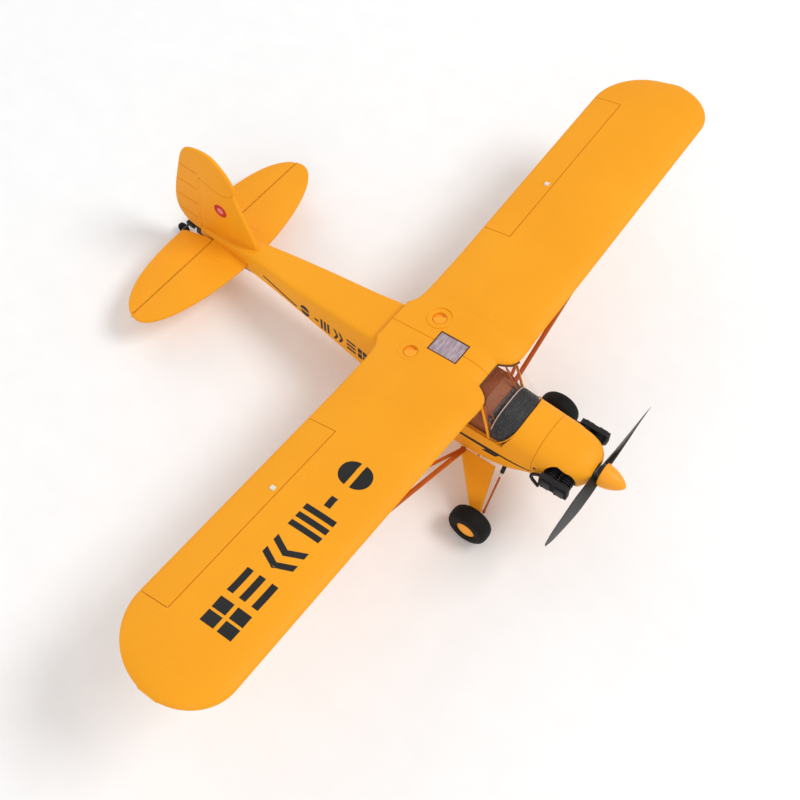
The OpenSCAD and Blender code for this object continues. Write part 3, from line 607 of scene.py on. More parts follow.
def rib_relief(x, y):
    """Skin sagging between the ribs, as over a fabric-covered frame: 0 at a rib."""
    inside = step_between(x, RIB_FIRST - 8, RIB_FIRST) * (x <= AILERON_OUT)
    if not inside:
        return 0.0
    phase = (x - RIB_FIRST) / RIB_PITCH
    sag = abs(math.sin(math.pi * phase)) ** 0.7
    along = step_between(y, 6, 24) * (1 - step_between(y, 58, 66))
    return -0.85 * sag * along * inside


SEAM_W = 0.3


def surface_z(x, y):
    """Height of the wing's upper skin over a plan point."""
    ax = abs(x)
    le, te = wing_le(ax), wing_te(ax)
    s = min(max((y - le) / (te - le), 0), 1)
    z = wing_rise(ax) + wing_thick(ax) * upper(s, straight(ax, TE_SHARE))
    return z + rib_relief(ax, y)


TOP_S = [0, 0.002, 0.007, 0.014, 0.024, 0.038, 0.055, 0.075, 0.1, 0.13, 0.165, 0.2, 0.24,
         0.28, 0.32, 0.36, 0.41, 0.46, 0.51, 0.56, 0.61, 0.66, 0.7, 0.74, 0.78, 0.83, 0.88,
         0.93, 0.97, 0.993, 1]
LOW_S = [1, 0.993, 0.96, 0.9, 0.82, 0.74, 0.65, 0.55, 0.45, 0.36, 0.28, 0.21, 0.16, 0.12,
         0.085, 0.058, 0.036, 0.02, 0.009, 0.003]


def wing_ring(sx):
    x = abs(sx)
    le, c = wing_le(x), wing_te(x) - wing_le(x)
    z, t, te = wing_rise(x), wing_thick(x), straight(x, TE_SHARE)
    edge = min(0.35, te * t * 0.3)
    ring = []
    for s in TOP_S:
        y = le + c * s
        height = z + t * upper(s, te) + rib_relief(x, y)
        if x < SEAM_W:
            height -= 0.55
        ring.append((sx, y, height - (edge if s == 1 else 0)))
    for s in LOW_S:
        height = z + t * lower(s) - 0.6 * rib_relief(x, le + c * s)
        ring.append((sx, le + c * s, height + (edge if s == 1 else 0)))
    return ring


def wing_stations():
    inner = [0, 0.15, SEAM_W, 0.6, 2, 4, 6, 8, 10, 12, 13.2, 14.5, 16, 17.5, 19.5, 21.5, 24, 27]
    xs = inner + [29, 31, 33, 35, 37]
    x = 37.0
    while x < TIP_TE_X - 0.01:
        for part in (0.04, 0.1, 0.2, 0.35, 0.5, 0.65, 0.8, 0.9, 0.96, 1.0):
            xs.append(x + RIB_PITCH * part)
        x += RIB_PITCH
    xs += [280, 283, 286, 289, 292, 295, 298, 301, 304, 307, 309.5, 312, 314, 316, 318, 319.5,
           321, 322.2, 323.2, 324, 324.6, 325]
    return [-x for x in xs[:0:-1]] + xs


def wing_form(name):
    return outward(loft(name, [wing_ring(x) for x in wing_stations()]))


HINGE_TOP = WING_DEPTH * upper(HINGE_Y / WING_CHORD, 0.12)
DIHEDRAL = math.atan(DIHEDRAL_SLOPE)
ALONG = 1 / math.cos(DIHEDRAL)
AT_AILERON_HINGE = Matrix.Translation((0, HINGE_Y, 4.25 + HINGE_TOP)) @ Matrix.Rotation(
    -DIHEDRAL, 4, "Y")
HORN_X = 171.0
SERVO_Y = 33.0


def aileron_block(gap, slant):
    """Bevelled block that holds the left aileron."""
    lean = 14 * math.tan(math.radians(slant))
    outline = [(gap, 14), (gap, 0), (gap + lean, -14), (60, -14), (60, 14)]
    block = prism("block", outline, AILERON_IN * ALONG + gap, AILERON_OUT * ALONG - gap,
                  side_view)
    return moved(block, AT_AILERON_HINGE)


SCREW_X, SCREW_Y, SEAT_Z = 18.7, 69.4, 5.6
SKYLIGHT = ((-9.9, 35.7), (9.9, 61.4))


def build_wing():
    wing = wing_form("wing_skin")
    block = aileron_block(-0.25, 0)
    low = SERVO_Y - HINGE_Y - 7.2
    pocket = moved(box_at("pocket", (HORN_X * ALONG - 8.6, low, -20),
                          (HORN_X * ALONG + 9.2, low + 19.4, 1.35)), AT_AILERON_HINGE)
    seat = revolve("seat", [(2.2, -15), (2.2, 0), (9.7, 0), (9.7, 20)],
                   (SCREW_X, SCREW_Y, SEAT_Z), (0, 0, 1), 72)
    sky = box_at("sky", (*SKYLIGHT[0], -5), (*SKYLIGHT[1], 30))
    sides = [t for tool in (block, pocket, seat) for t in (mirrored(tool, "m"), tool)]
    boolean(wing, join("tools", sides + [sky]))
    finish_piece(wing, "airframe", FOAM, ["wing"], 28)

    left = boolean(wing_form("aileron_left_foam"), aileron_block(0.25, 27), "INTERSECT")
    right = mirrored(left, "aileron_right_foam")
    finish_piece(left, "aileron_left_unit", FOAM, ["aileron_left"], 28)
    finish_piece(right, "aileron_right_unit", FOAM, ["aileron_right"], 28)


def there_and_back(us, first, second):
    """Section of a strip: along us at one height, and back at the other."""
    return [(u, first) for u in us] + [(u, second) for u in us[::-1]]


def build_hinge_skins():
    """Thin flexible foam left along each aileron's hinge line, painted darker orange as the shade in the hinge
    groove.
    """
    for side, name in ((1, "left"), (-1, "right")):
        rings = []
        for x in steps(AILERON_IN + 0.3, AILERON_OUT - 0.3, 6):
            z = surface_z(x, HINGE_Y) - 0.45
            rings.append([(side * x, HINGE_Y + u, z + v - 0.3 * abs(u))
                          for u, v in there_and_back((-1.6, -0.5, 0, 0.5, 1.6), 0, -0.4)])
        strip = finish_piece(outward(loft("aileron_hinge_skin_" + name, rings)), None, SEAM)
        at = (side * HORN_X, HINGE_Y, surface_z(HORN_X, HINGE_Y))
        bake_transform(strip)


def build_wing_screws():
    """Round seats flush with the wing, each with a screw that has a half-moon pocket."""
    low, high = surface_z(SCREW_X, SCREW_Y - 6), surface_z(SCREW_X, SCREW_Y + 6)
    up = Vector((0, (low - high) / 12, 1)).normalized()
    at = Vector((SCREW_X, SCREW_Y, surface_z(SCREW_X, SCREW_Y) + 0.12))
    profile = [(5.5, -3.0), (9.8, -3.0), (9.8, -0.12), (9.3, -0.02), (8.6, 0.05), (6.2, 0.05),
               (5.7, -0.1), (5.5, -0.4)]
    seat = turned_ring("seat", profile, at, up, 72)
    floor = turned_ring("floor", [(2.2, -3.0), (5.6, -3.0), (5.6, -2.5), (2.2, -2.5)], at, up, 48)
    finish_piece(both("screw_seat_rings", join("seat", [seat, floor])), "airframe", FOAM,
                 ["screw_seats"])
    head = [(1.9, -19), (1.9, -2.4), (5.0, -2.4), (5.25, -2.1), (5.25, -0.6), (5.0, -0.25),
            (4.4, -0.1), (0, -0.1)]
    turns = [math.pi * (i / 24 - 0.5) for i in range(25)]
    moon = [(0.6 + 4.3 * math.cos(t), 4.6 * math.sin(t)) for t in turns]
    screws = []
    for side in (1, -1):
        here = Vector((side * at.x, at.y, at.z))
        screw = revolve("screw", head, here, up, 48)
        turn = Matrix.Translation(here) @ Matrix.Rotation(math.radians(31), 4, "Z")
        pocket = moved(prism("moon", moon, -1.9, 2, plan), turn)
        screws.append(boolean(screw, pocket))
    finish_piece(join("wing_thumb_screws", screws), "airframe", YELLOW, ["wing_screws"])


def build_skylight():
    """Milky pane in a thin brown rim, both flush with the wing."""
    (x0, y0), (x1, y1) = SKYLIGHT

    def row(y, half, drop):
        xs = np.linspace(-half, half, 15)
        return ([(x, y, surface_z(max(abs(x), SEAM_W), y) - drop) for x in xs]
                + [(x, y, surface_z(max(abs(x), SEAM_W), y) - drop - 0.8) for x in xs[::-1]])

    pane = loft("skylight_pane", [row(y, x1 - 0.9, 0.22) for y in steps(y0 + 0.9, y1 - 0.9, 2)])
    finish_piece(pane, "airframe", HAZY, ["skylight"])
    rim = loft("skylight_edge", [row(y, x1, 0.06) for y in steps(y0, y1, 2)])
    boolean(rim, box_at("open", (x0 + 1.1, y0 + 1.1, -5), (x1 - 1.1, y1 - 1.1, 30)))
    finish_piece(rim, "airframe", EDGE)


# ------------------------------------------------------------------ fuselage form
CABIN_HALF = 25.5
FOAM_WALL = 3.0
SILL = -33.0
COCKPIT_BACK, COCKPIT_DEPTH = -7.0, 18.0
HALF_W = [(-84, 10), (-82, 14), (-77, 19), (-68, 22.4), (-56, 24.2), (-43.5, 24.7),
          (-24, CABIN_HALF), (60, CABIN_HALF), (91, 23.6), (130, 20.3), (178, 16.5),
          (230, 10.6), (262, 7.5), (296, 3.6)]
TOP_FRONT = [(-84, -27), (-82, -24), (-77, -21), (-68, -19), (-56, -18), (-43.5, -17.2),
             (-24, -15.4), (-8, -13.5), (56, -13.5)]
TOP_REAR = [(56.5, 0), (99, 0), (130, -2.3), (178, -4.6), (230, -7), (250, -9.6),
            (276, -14.2), (296, -16)]
BOTTOM = [(-84, -43), (-82, -46.5), (-77, -50.5), (-68, -53), (-56, -54.7), (-43.5, -56),
          (-24, -64), (-6, -68.5), (15, -70), (28, -69.3), (91, -54), (130, -44.3),
          (178, -33.5), (205, -30), (230, -28.4), (262, -27), (296, -25)]
TOP_N = [(-84, 2), (-43.5, 2.3), (-24, 2.6), (-8, 3), (56, 3), (56.5, 8), (99, 8), (178, 6),
         (296, 4)]
LOW_N = [(-84, 2), (-68, 2.6), (-43.5, 3.4), (-24, 5), (0, 6), (200, 6), (296, 4)]


def fuselage_top(y):
    return gentle(y, TOP_FRONT) if y <= 56.2 else gentle(y, TOP_REAR)


def fuselage_at(y, margin=0.0):
    """Half width, top, bottom and widest height of the fuselage section at y."""
    w = gentle(y, HALF_W) - margin
    zt = fuselage_top(y) - margin
    zb = gentle(y, BOTTOM) + margin
    return w, zt, zb, zt + (zb - zt) * (0.42 if y < 30 else 0.5)


def fuselage_point(y, angle, margin=0.0):
    w, zt, zb, zc = fuselage_at(y, margin)
    c, s = math.cos(angle), math.sin(angle)
    e = 2 / straight(y, TOP_N if s > 0 else LOW_N)
    h = zt - zc if s > 0 else zc - zb
    return (w * math.copysign(abs(c) ** e, c), y, zc + h * math.copysign(abs(s) ** e, s))


def side_x(y, z):
    """Half width of the fuselage at a height."""
    w, zt, zb, zc = fuselage_at(y)
    n = straight(y, TOP_N if z > zc else LOW_N)
    h = zt - zc if z > zc else zc - zb
    return w * max(0.0, 1 - min(1.0, abs(z - zc) / h) ** n) ** (1 / n)


def fuselage_ring(y, margin=0.0, n=88):
    return [fuselage_point(y, 2 * math.pi * (i + 0.5) / n, margin) for i in range(n)]


def fuselage_form(name, margin, ys, n=88):
    return outward(loft(name, [fuselage_ring(y, margin, n) for y in ys]))


def steps(low, high, step):
    n = max(1, round((high - low) / step))
    return [low + (high - low) * i / n for i in range(n + 1)]


def behind_rudder_hinge(margin):
    block = box_at("behind", (-100, -margin, -150), (100, 200, 150))
    return moved(block, AT_RUDDER_HINGE)


def bow_plan(a, wide=0.0, deep=0.0):
    """Plan of the cockpit's edge: a bow with square corners, a from -pi/2 to pi/2."""
    return (math.copysign((CABIN_HALF + wide) * abs(math.sin(a)) ** 0.5, a),
            COCKPIT_BACK - (COCKPIT_DEPTH + deep) * math.sqrt(max(0.0, math.cos(a))))


def cockpit_cutter(wide, deep, low, high):
    pts = [bow_plan(math.pi * (i / 60 - 0.5), wide, deep) for i in range(61)]
    half = CABIN_HALF + wide
    pts += [(half, COCKPIT_BACK + 0.2), (-half, COCKPIT_BACK + 0.2)]
    return prism("bow", pts, low, high, plan)


def deck_z(x, y, lift=0.0):
    """Height of the nose deck."""
    w, zt, _, zc = fuselage_at(y, -lift)
    n = straight(y, TOP_N)
    return zc + (zt - zc) * max(0.0, 1 - abs(x / w) ** n) ** (1 / n)


RUDDER_HINGE = Vector((0, 288, 21))
RUDDER_RAKE = math.radians(6.8)
AT_RUDDER_HINGE = Matrix.Translation(RUDDER_HINGE) @ Matrix.Rotation(RUDDER_RAKE, 4, "X")
TAIL_DEPTH = 3.4
FIN_DEPTH = 3.6


# Room round each tail pushrod, from its servo end to its horn end: start, end, radius
ROD_PASSAGES = [((-9.1, 72, -21), (-9.1, 278, -28), 1.45),
                ((7.65, 44.2, -14.4), (7.65, 294.4, -32.8), 1.55)]


def build_fuselage():
    body = fuselage_form("body", 0, steps(-43.5, 56, 2.4) + [56.5] + steps(60, 294, 4))
    hollow = fuselage_form("hollow", FOAM_WALL, [-43.9] + steps(-42, 56, 3) + [56.5]
                           + steps(60, 218, 6))
    boolean(body, hollow)
    wing_bay = box_at("bay", (-22.5, 56, -20), (22.5, 90, 10))
    boolean(body, wing_bay)
    cabin = box_at("cabin", (-40, COCKPIT_BACK, SILL), (40, 58.5, 27))
    boolean(body, cabin)
    boolean(body, cockpit_cutter(1, 0.2, SILL, 27))
    boolean(body, box_at("hatch", (-14, -41, -75), (14, -13, -51)))
    boolean(body, box_at("groove", (-18, 0.8, -72), (18, 3.2, -67.4)))
    for start, end, radius in ROD_PASSAGES:
        start, end = Vector(start), Vector(end)
        boolean(body, rod("passage", [start.lerp(end, 0.55), start.lerp(end, 1.02)], radius))
    boolean(body, box_at("tail_slot", (-30, 236, -21.7), (30, 275.9, -18.3)))
    boolean(body, revolve("wire_hole", [(1.3, -20), (1.3, 20)], ELEVATOR_HINGE, (1, 0, 0), 24))
    boolean(body, behind_rudder_hinge(FIN_DEPTH / 2 + 0.45))
    body.name = "fuselage_foam"
    finish_piece(body, "airframe", FOAM, ["fuselage_shell"], 30)

    pads = both("wing_pads", box_at("pad", (13.5, 62, -14), (22.6, 77, 0)))
    holes = revolve("hole", [(1.95, -10), (1.95, 10)], (SCREW_X, SCREW_Y, -5), (0, 0, 1), 32)
    boolean(pads, both("holes", holes))
    finish_piece(pads, "airframe", FOAM)


def window_outline():
    """Side cut-out of the cowl, as (y, z) points: round above, squarer below."""
    pts = []
    for cy, cz, r, start in ((8, -6, 4, -90), (3.5, 4.5, 8.5, 0), (-3.5, 2.5, 8.5, 90),
                             (-8, -6, 4, 180)):
        turns = [math.radians(start + a) for a in range(0, 91, 10)]
        pts += [(cy + r * math.cos(t), cz + r * math.sin(t)) for t in turns]
    return [(y - 65.8, z - 38) for y, z in pts]


def build_cowl():
    ys = [-84, -83.8, -83.4, -82.8, -82, -81, -79.8, -78.5, -77] + steps(-75.4, -43.8, 1.7)
    cowl = fuselage_form("cowl_foam", 0, ys)
    boolean(cowl, fuselage_form("hollow", 1.4, [-82.4, -81, -79.5] + steps(-77, -43, 2.4)))
    boolean(cowl, prism("sides", window_outline(), -45, 45, side_view))
    boolean(cowl, revolve("front", [(6.5, -90), (6.5, -80)], (0, 0, -35), (0, 1, 0), 48))
    bevel(cowl, 0.35, 2, 50)
    finish_piece(cowl, "airframe", FOAM, ["cowl"], 30)

    baffle = bevel(box_at("baffle", (13.2, -75.5, -46), (14, -53, -27)), 0.3, 2)
    finish_piece(both("engine_baffles", baffle), "airframe", BLACK)

    screws = []
    for z in (-36, -47):
        x = side_x(-46.5, z)
        screws.append(revolve("head", [(1.1, -1.4), (1.1, 0.1), (0.8, 0.35), (0, 0.42)],
                              (x, -46.5, z), (1, 0, 0), 24))
    finish_piece(both("cowl_screw_heads", join("heads", screws)), "airframe",
                 BLACK, ["cowl_screws"])


def build_hatch():
    lid = fuselage_form("hatch_lid", 0, steps(-43.5, -8, 2.4))
    boolean(lid, fuselage_form("hollow", 2.6, [-43.9] + steps(-42, -9, 3) + [-7.5]))
    boolean(lid, box_at("edge", (-13.65, -40.65, -75), (13.65, -13.35, -51)), "INTERSECT")
    finish_piece(lid, "hatch", FOAM, ["battery_hatch"])


# ------------------------------------------------------------------ power unit
THRUST = Vector((0, 0, -35))
PROP_Y = -87.6
SPINNER_BACK = -89.2
PROP_R = 78.0
PROP_TURN = math.radians(7)
CHORD = [(6, 8), (20, 12), (38, 15.5), (56, 13.5), (70, 9.5), (78, 3.5)]
BLADE_DEPTH = [(6, 0.26), (30, 0.13), (78, 0.1)]


def blade_ring(r, n=28):
    c, p = gentle(r, CHORD), math.atan2(15, r + 6)
    t = c * straight(r, BLADE_DEPTH)
    sweep = 1.2 * math.sin(math.pi * (r - 6) / 72)
    ring = []
    for i in range(n):
        a = 2 * math.pi * i / n
        u = c / 2 * math.cos(a) + sweep
        v = t / 2 * math.sin(a) * (1.3 if math.sin(a) > 0 else 0.5)
        ring.append((r, v * math.cos(p) - u * math.sin(p), u * math.cos(p) + v * math.sin(p)))
    return ring


def build_propeller():
    rs = [6, 8, 10, 13, 16, 20, 24, 28, 33, 38, 43, 48, 53, 58, 63, 67, 70, 72.5, 74.5, 76, 77,
          77.7, PROP_R]
    blade = outward(loft("blade", [blade_ring(r) for r in rs]))
    other = moved(mirrored(blade, "other"), Matrix.Scale(-1, 4, (0, 0, 1)))
    blades = [blade, outward(other)]
    for b in blades:
        moved(b, Matrix.Translation((0, PROP_Y, 0)))
    hub = revolve("hub", [(6.9, -1.6), (7.5, -1.2), (7.5, 1.2), (6.9, 1.6)],
                  (0, PROP_Y, 0), (0, 1, 0), 48)
    prop = join("propeller_blades", blades + [hub])
    outward(prop)
    boolean(prop, revolve("bore", [(2, -5), (2, 5)], (0, PROP_Y, 0), (0, 1, 0), 24))
    moved(prop, Matrix.Translation(THRUST) @ Matrix.Rotation(PROP_TURN, 4, "Y"))
    finish_piece(prop, "propeller_unit", BLADE, ["propeller"], 40)


def build_spinner():
    r0, length = 9.4, 19.6
    profile = [(5.4, 0.0), (8.9, 0.0), (9.3, 0.25)]
    for i in range(1, 33):
        s = 1 - (1 - i / 32) ** 1.6
        profile.append((r0 * max(0.0, 1 - s ** 1.75) ** 0.66, length * s))
    back = THRUST + Vector((0, SPINNER_BACK, 0))
    cone = revolve("spinner_cone", profile, back, (0, -1, 0), 72)
    hollow = revolve("inside", [(5.4, -1), (5.4, 7)], back, (0, -1, 0), 48)
    boolean(cone, hollow)
    finish_piece(cone, "propeller_unit", YELLOW, ["spinner"], 40)


BANK_Y, BANK_Z = -65.8, -36.4
BOX_IN = 26.1


def build_cylinders():
    for side in (1, -1):
        parts = []
        for dy in (-5.7, 5.7):
            at = (0, BANK_Y + dy, BANK_Z)
            profile = [(3.6, 14.5)]
            x = 16.4
            while x < BOX_IN - 1:
                profile += [(4.2, x), (5.4, x + 0.1), (5.55, x + 0.55), (5.4, x + 1.0),
                            (4.2, x + 1.15)]
                x += 2.15
            profile += [(4.2, BOX_IN + 0.2)]
            parts.append(revolve("barrel", profile, at, (1, 0, 0), 40))
            cover = bevel(box_at("cover", (BOX_IN + 4, at[1] - 3.9, BANK_Z - 4),
                                 (BOX_IN + 6.5, at[1] + 3.9, BANK_Z + 4.4)), 0.9, 3)
            parts.append(cover)
            for z in (-2.6, 3.0):
                parts.append(revolve("bolt", [(0.75, 0), (0.75, 0.5), (0.5, 0.7), (0, 0.72)],
                                     (BOX_IN + 6.3, at[1] + 2.6, BANK_Z + z), (1, 0, 0), 12))
            pipe = [(25, at[1] + 1.5, BANK_Z - 5.2), (25.2, at[1] + 2.6, BANK_Z - 6.6),
                    (25, at[1] + 4.2, BANK_Z - 7.6)]
            parts.append(rod("stub", pipe, 1.05))
        head = bevel(box_at("head", (BOX_IN, BANK_Y - 11.4, BANK_Z - 6.4),
                            (BOX_IN + 4.6, BANK_Y + 11.4, BANK_Z + 6.2)), 0.8, 3)
        parts.append(head)
        for k in range(7):
            z = BANK_Z - 4.9 + 1.62 * k
            parts.append(bevel(box_at("fin", (BOX_IN + 0.4, BANK_Y - 11.9, z),
                                       (BOX_IN + 5.1, BANK_Y + 11.9, z + 0.7)), 0.2, 2))
        name = "cylinders_left" if side > 0 else "cylinders_right"
        bank = join(name, parts)
        if side < 0:
            moved(bank, FLIP)
        finish_piece(bank, "airframe", BLACK,
                     ["cylinder_bank_left" if side > 0 else "cylinder_bank_right"], 35)


def build_exhaust():
    route = [(27.4, -54.2, -34.8), (27.8, -51.0, -35.6), (28.3, -48.0, -37.4), (28.5, -46.8, -39.4),
             (28.5, -46.8, -41.6), (28.5, -48.2, -44.0), (28.4, -50.8, -46.6), (28.4, -54, -49.2)]
    fine = [tuple(np.array(a) * (1 - t) + np.array(b) * t)
            for a, b in zip(route, route[1:]) for t in (0, 0.5)] + [route[-1]]
    pipe = rod("pipe", fine, 1.3, 18)
    finish_piece(both("exhaust_loops", pipe), "airframe", BLACK,
                 ["exhaust_pipes"], 40)


# ------------------------------------------------------------------ cabin
def bow_point(a):
    x, y = bow_plan(a)
    return Vector((x, y, max(SILL + 0.1, deck_z(x, y))))


BROW = [(0, 12.6), (12, 12.6), (14.5, 7.5), (17.5, 3.6), (23.4, 1.2)]


def brow_point(a):
    x = 23.4 * math.sin(a)
    return Vector((x, straight(abs(x), BROW), 3.2))


GLASS_T = 0.9


def glass_point(a, t, inner=False):
    """Point on the windshield: a runs round the bow, t from the deck up to the wing."""
    p, q = bow_point(a), brow_point(a)
    bulge = Vector((1.6 * math.sin(a), -1.2 * math.cos(a), 0.8 * math.cos(a)))
    point = p + (q - p) * t + bulge * (1 - (2 * t - 1) ** 2)
    if inner:
        step = Vector((-point.x, 30 - point.y, 0))
        point = point + step * (GLASS_T / step.length)
    return point


def build_windshield():
    spread_a = [math.radians(89.6) * math.sin(math.pi * (i / 96 - 0.5)) for i in range(97)]
    ts = [i / 10 for i in range(11)]
    rings = [[glass_point(a, t) for t in ts] + [glass_point(a, t, True) for t in ts[::-1]]
             for a in spread_a]
    glass = outward(loft("windshield_glass", rings))
    finish_piece(glass, "airframe", GLASS, ["windshield"], 50)

    brow = [brow_point(a) + Vector((0, -0.1, 0.2)) for a in spread_a]
    finish_piece(rod("windshield_brow", brow, 0.75, 10), "airframe", EDGE, (), 50)
    foot = [bow_point(a) + Vector((0, 0, 0.15)) for a in spread_a]
    finish_piece(rod("windshield_foot", foot, 0.45, 10), "airframe", FOAM, (), 50)


def build_side_windows():
    outline = [(COCKPIT_BACK + 1.4, SILL + 0.2), (56.2, SILL + 0.2), (56.2, -0.2), (7.4, -0.2),
               (4.5, -3)]
    pane = prism("pane", outline, CABIN_HALF - 1.6, CABIN_HALF - 0.8, side_view)
    finish_piece(both("side_window_panes", pane), "airframe", GLASS,
                 ["side_windows"])

    x0, x1 = CABIN_HALF - 3.1, CABIN_HALF - 1.7
    frames = [bevel(box_at("bar", (x0, y, SILL), (x1, y + 2.4, -0.1)), 0.3, 2) for y in (21, 40)]
    front = [(24.6, -6.5, -32), (23.8, -1.6, -16), (22.9, 3.4, -0.6)]
    frames.append(rod("front_post", front, 1.0, 14))
    finish_piece(both("cabin_posts", join("posts", frames)), "airframe", FOAM,
                 ["window_posts"])
    lining = rod("lining", [(23.2, -6.0, -31.4), (22.5, -2.2, -16), (21.7, 1.7, -0.2)], 0.75, 12)
    braces = [
        rod("brace_a", [(15.5, 7.6, 0.4), (20.6, 1.6, -16), (21.4, -3.4, -23)], 0.6, 12),
        rod("brace_b", [(15.5, 7.6, 0.4), (15.8, 1.0, -12), (16.0, -5.0, -20.6)], 0.6, 12),
    ]
    finish_piece(both("cabin_braces", join("braces", [lining] + braces)), "airframe",
                 STRUT)


def build_glare_shield():
    panel = fuselage_form("glare_panel", 0.35, steps(-34, -6.9, 1.4))
    boolean(panel, fuselage_form("hollow", 2, steps(-34.1, -6.8, 2)))
    boolean(panel, cockpit_cutter(-2.2, -1.4, SILL + 0.2, 7), "INTERSECT")
    finish_piece(panel, "airframe", PANEL, ["glare_shield"], 40)
    # Pale rod along the glare panel's rear edge: it stands for the edge's highlight, painted on.
    across = [22.6 * math.sin(math.pi * (i / 40 - 0.5)) for i in range(41)]
    lip = rod("glare_highlight_rod", [(x, -6.5, deck_z(x, -6.7, -0.6)) for x in across], 0.55, 10)
    finish_piece(lip, "airframe", GLARE_HIGHLIGHT, (), 50)


def build_cabin():
    half = 21.4
    outline = [(-6.5, -38), (-6.5, -22), (8, -12.5), (31, -12.5), (31, -38)]
    box = bevel(prism("cabin_box", outline, -half, half, side_view), 1.2, 4)
    inner = [(-5.3, -39), (-5.3, -22.8), (8.4, -13.7), (29.8, -13.7), (29.8, -39)]
    boolean(box, prism("inside", inner, -half + 1.2, half - 1.2, side_view))
    # The liner's brown is painted shade of the foam cabin interior.
    finish_piece(box, "airframe", CABIN, ["cabin_liner"])

    slope = math.atan2(9.5, 14.5)
    strip = [(-half + 1.6, -1.2), (half - 1.6, -1.2), (half - 1.6, 5.4), (-half + 1.6, 5.4)]
    c, s = math.cos(slope), math.sin(slope)
    dark = slab("dash_strip", strip, 0.6, 0.35,
                lambda u, v, w: (u, -5.0 + v * c - w * s, -20.9 + v * s + w * c))
    finish_piece(dark, "airframe", CABIN_DARK)
    knobs = []
    for x in (-11, -4, 5, 12):
        knobs.append(revolve("knob", [(1.5, 0), (1.6, 0.3), (1.3, 0.8), (0.6, 0.9), (0, 0.9)],
                             (x, -2.6, -18.9), (0, -s, c), 24))
    finish_piece(join("dash_dials", knobs), "airframe", BLACK)


# ------------------------------------------------------------------ tail
TAIL_HALF = 103.0


def tail_le(x):
    return 270 - 34 * math.sqrt(max(0, 1 - (x / TAIL_HALF) ** 1.8))


def tail_te(x):
    return 270 + 33.5 * math.sqrt(max(0, 1 - (x / TAIL_HALF) ** 3))


TAIL_STEPS = [TAIL_HALF * math.sin(math.pi / 2 * i / 48) for i in range(49)]


def flat(u, v, w):
    return (u, v, ELEVATOR_HINGE.z + w)


def upright(u, v, w):
    """(behind, above) on the rudder's hinge line."""
    return AT_RUDDER_HINGE @ Vector((w, u, v))


def scores(lines, depth_from, depth_to, width, place, mirror=True):
    """Thin cutting blades along lines of (u, v) points, for grooves in a flat part."""
    tools = []
    for a, b in lines:
        a, b = Vector(a), Vector(b)
        side = (b - a).orthogonal().normalized() * width / 2
        outline = [tuple(a + side), tuple(a - side), tuple(b - side), tuple(b + side)]
        tools.append(prism("score", outline, depth_from, depth_to, place))
        if mirror:
            tools.append(prism("score", outline, -depth_to, -depth_from, place))
    return join("scores", tools)


def build_tailplane():
    back = ELEVATOR_HINGE.y - TAIL_DEPTH / 2 - 0.4
    front = [(x, tail_le(x)) for x in TAIL_STEPS] + [(x, tail_te(x)) for x in TAIL_STEPS[::-1]]
    front = [p for p in front if p[1] <= back]
    outline = front + [(max(p[0] for p in front) - 0.1, back)]
    outline = spread(outline + [(-u, v) for u, v in outline[::-1]][:-1], 3)
    stab = slab("stabiliser_foam", outline, TAIL_DEPTH / 2, 1.2, flat)
    lines = [((x, 250), (x, 273)) for x in (-22, 22)]
    boolean(stab, scores(lines, TAIL_DEPTH / 2 - 0.12, 4, 0.7, flat))
    finish_piece(stab, "airframe", FOAM, ["stabiliser"], 40)

    hinge_front = ELEVATOR_HINGE.y - TAIL_DEPTH / 2
    rim = [(x, tail_te(x)) for x in TAIL_STEPS[::-1] if tail_te(x) > hinge_front + 0.4 and x >= 13]
    outline = [(6.6, hinge_front + 0.3), (7.6, hinge_front), (rim[0][0] - 0.3, hinge_front)] + rim
    outline = spread(outline + [(12.6, tail_te(12.6) - 1.2), (11, 300), (6.6, 281)], 2.5)
    right_half = slab("elevator_half", outline, TAIL_DEPTH / 2, 1.2, flat)
    boolean(right_half, revolve("wire", [(0.8, 0), (0.8, 14)], ELEVATOR_HINGE, (1, 0, 0), 20))
    finish_piece(both("elevator_foam", right_half), "elevator_unit", FOAM, ["elevator"], 40)

    strips = []
    flush = TAIL_DEPTH / 2 - 0.08
    for x0, x1 in ((-99, -8), (8, 99)):
        section = there_and_back((-2, -1, 0, 1.2), flush, -flush)
        strips.append(outward(loft("strip", [[flat(x, hinge_front + u, v) for u, v in section]
                                             for x in steps(x0, x1, 7)])))
    strip = finish_piece(join("elevator_hinge_skins", strips), None, FOAM)
    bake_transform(strip)


RUDDER_FOOT = -43.8
RUDDER_BACK = [(3, RUDDER_FOOT), (10.8, -43.2), (16, -41), (20.5, -37), (24.2, -31), (25.6, -24),
               (25.8, -16), (25, -6), (23.6, 3), (21.8, 13), (19.9, 23), (18.2, 32), (16.2, 39),
               (13.6, 44), (10, 47.2), (3.6, 50.4), (-4, 52.4), (-11.2, 53), (-16, 51.6),
               (-20.7, 49.2), (-28.5, 43), (-33, 37.4), (-35.5, 33.1), (-36, 29.4)]
HORN_EDGE = [(-35.2, 26.4), (-33, 23.2), (-29, 20.6), (-24, 19.2), (-18, 19), (-11, 20.2),
             (-4, 22.2), (0, 23.6)]


def rounded(points, passes=2):
    """Corner-cutting of an open line, ends kept."""
    for _ in range(passes):
        out = [points[0]]
        for a, b in zip(points, points[1:]):
            out += [(0.75 * a[0] + 0.25 * b[0], 0.75 * a[1] + 0.25 * b[1]),
                    (0.25 * a[0] + 0.75 * b[0], 0.25 * a[1] + 0.75 * b[1])]
        points = out + [points[-1]]
    return points


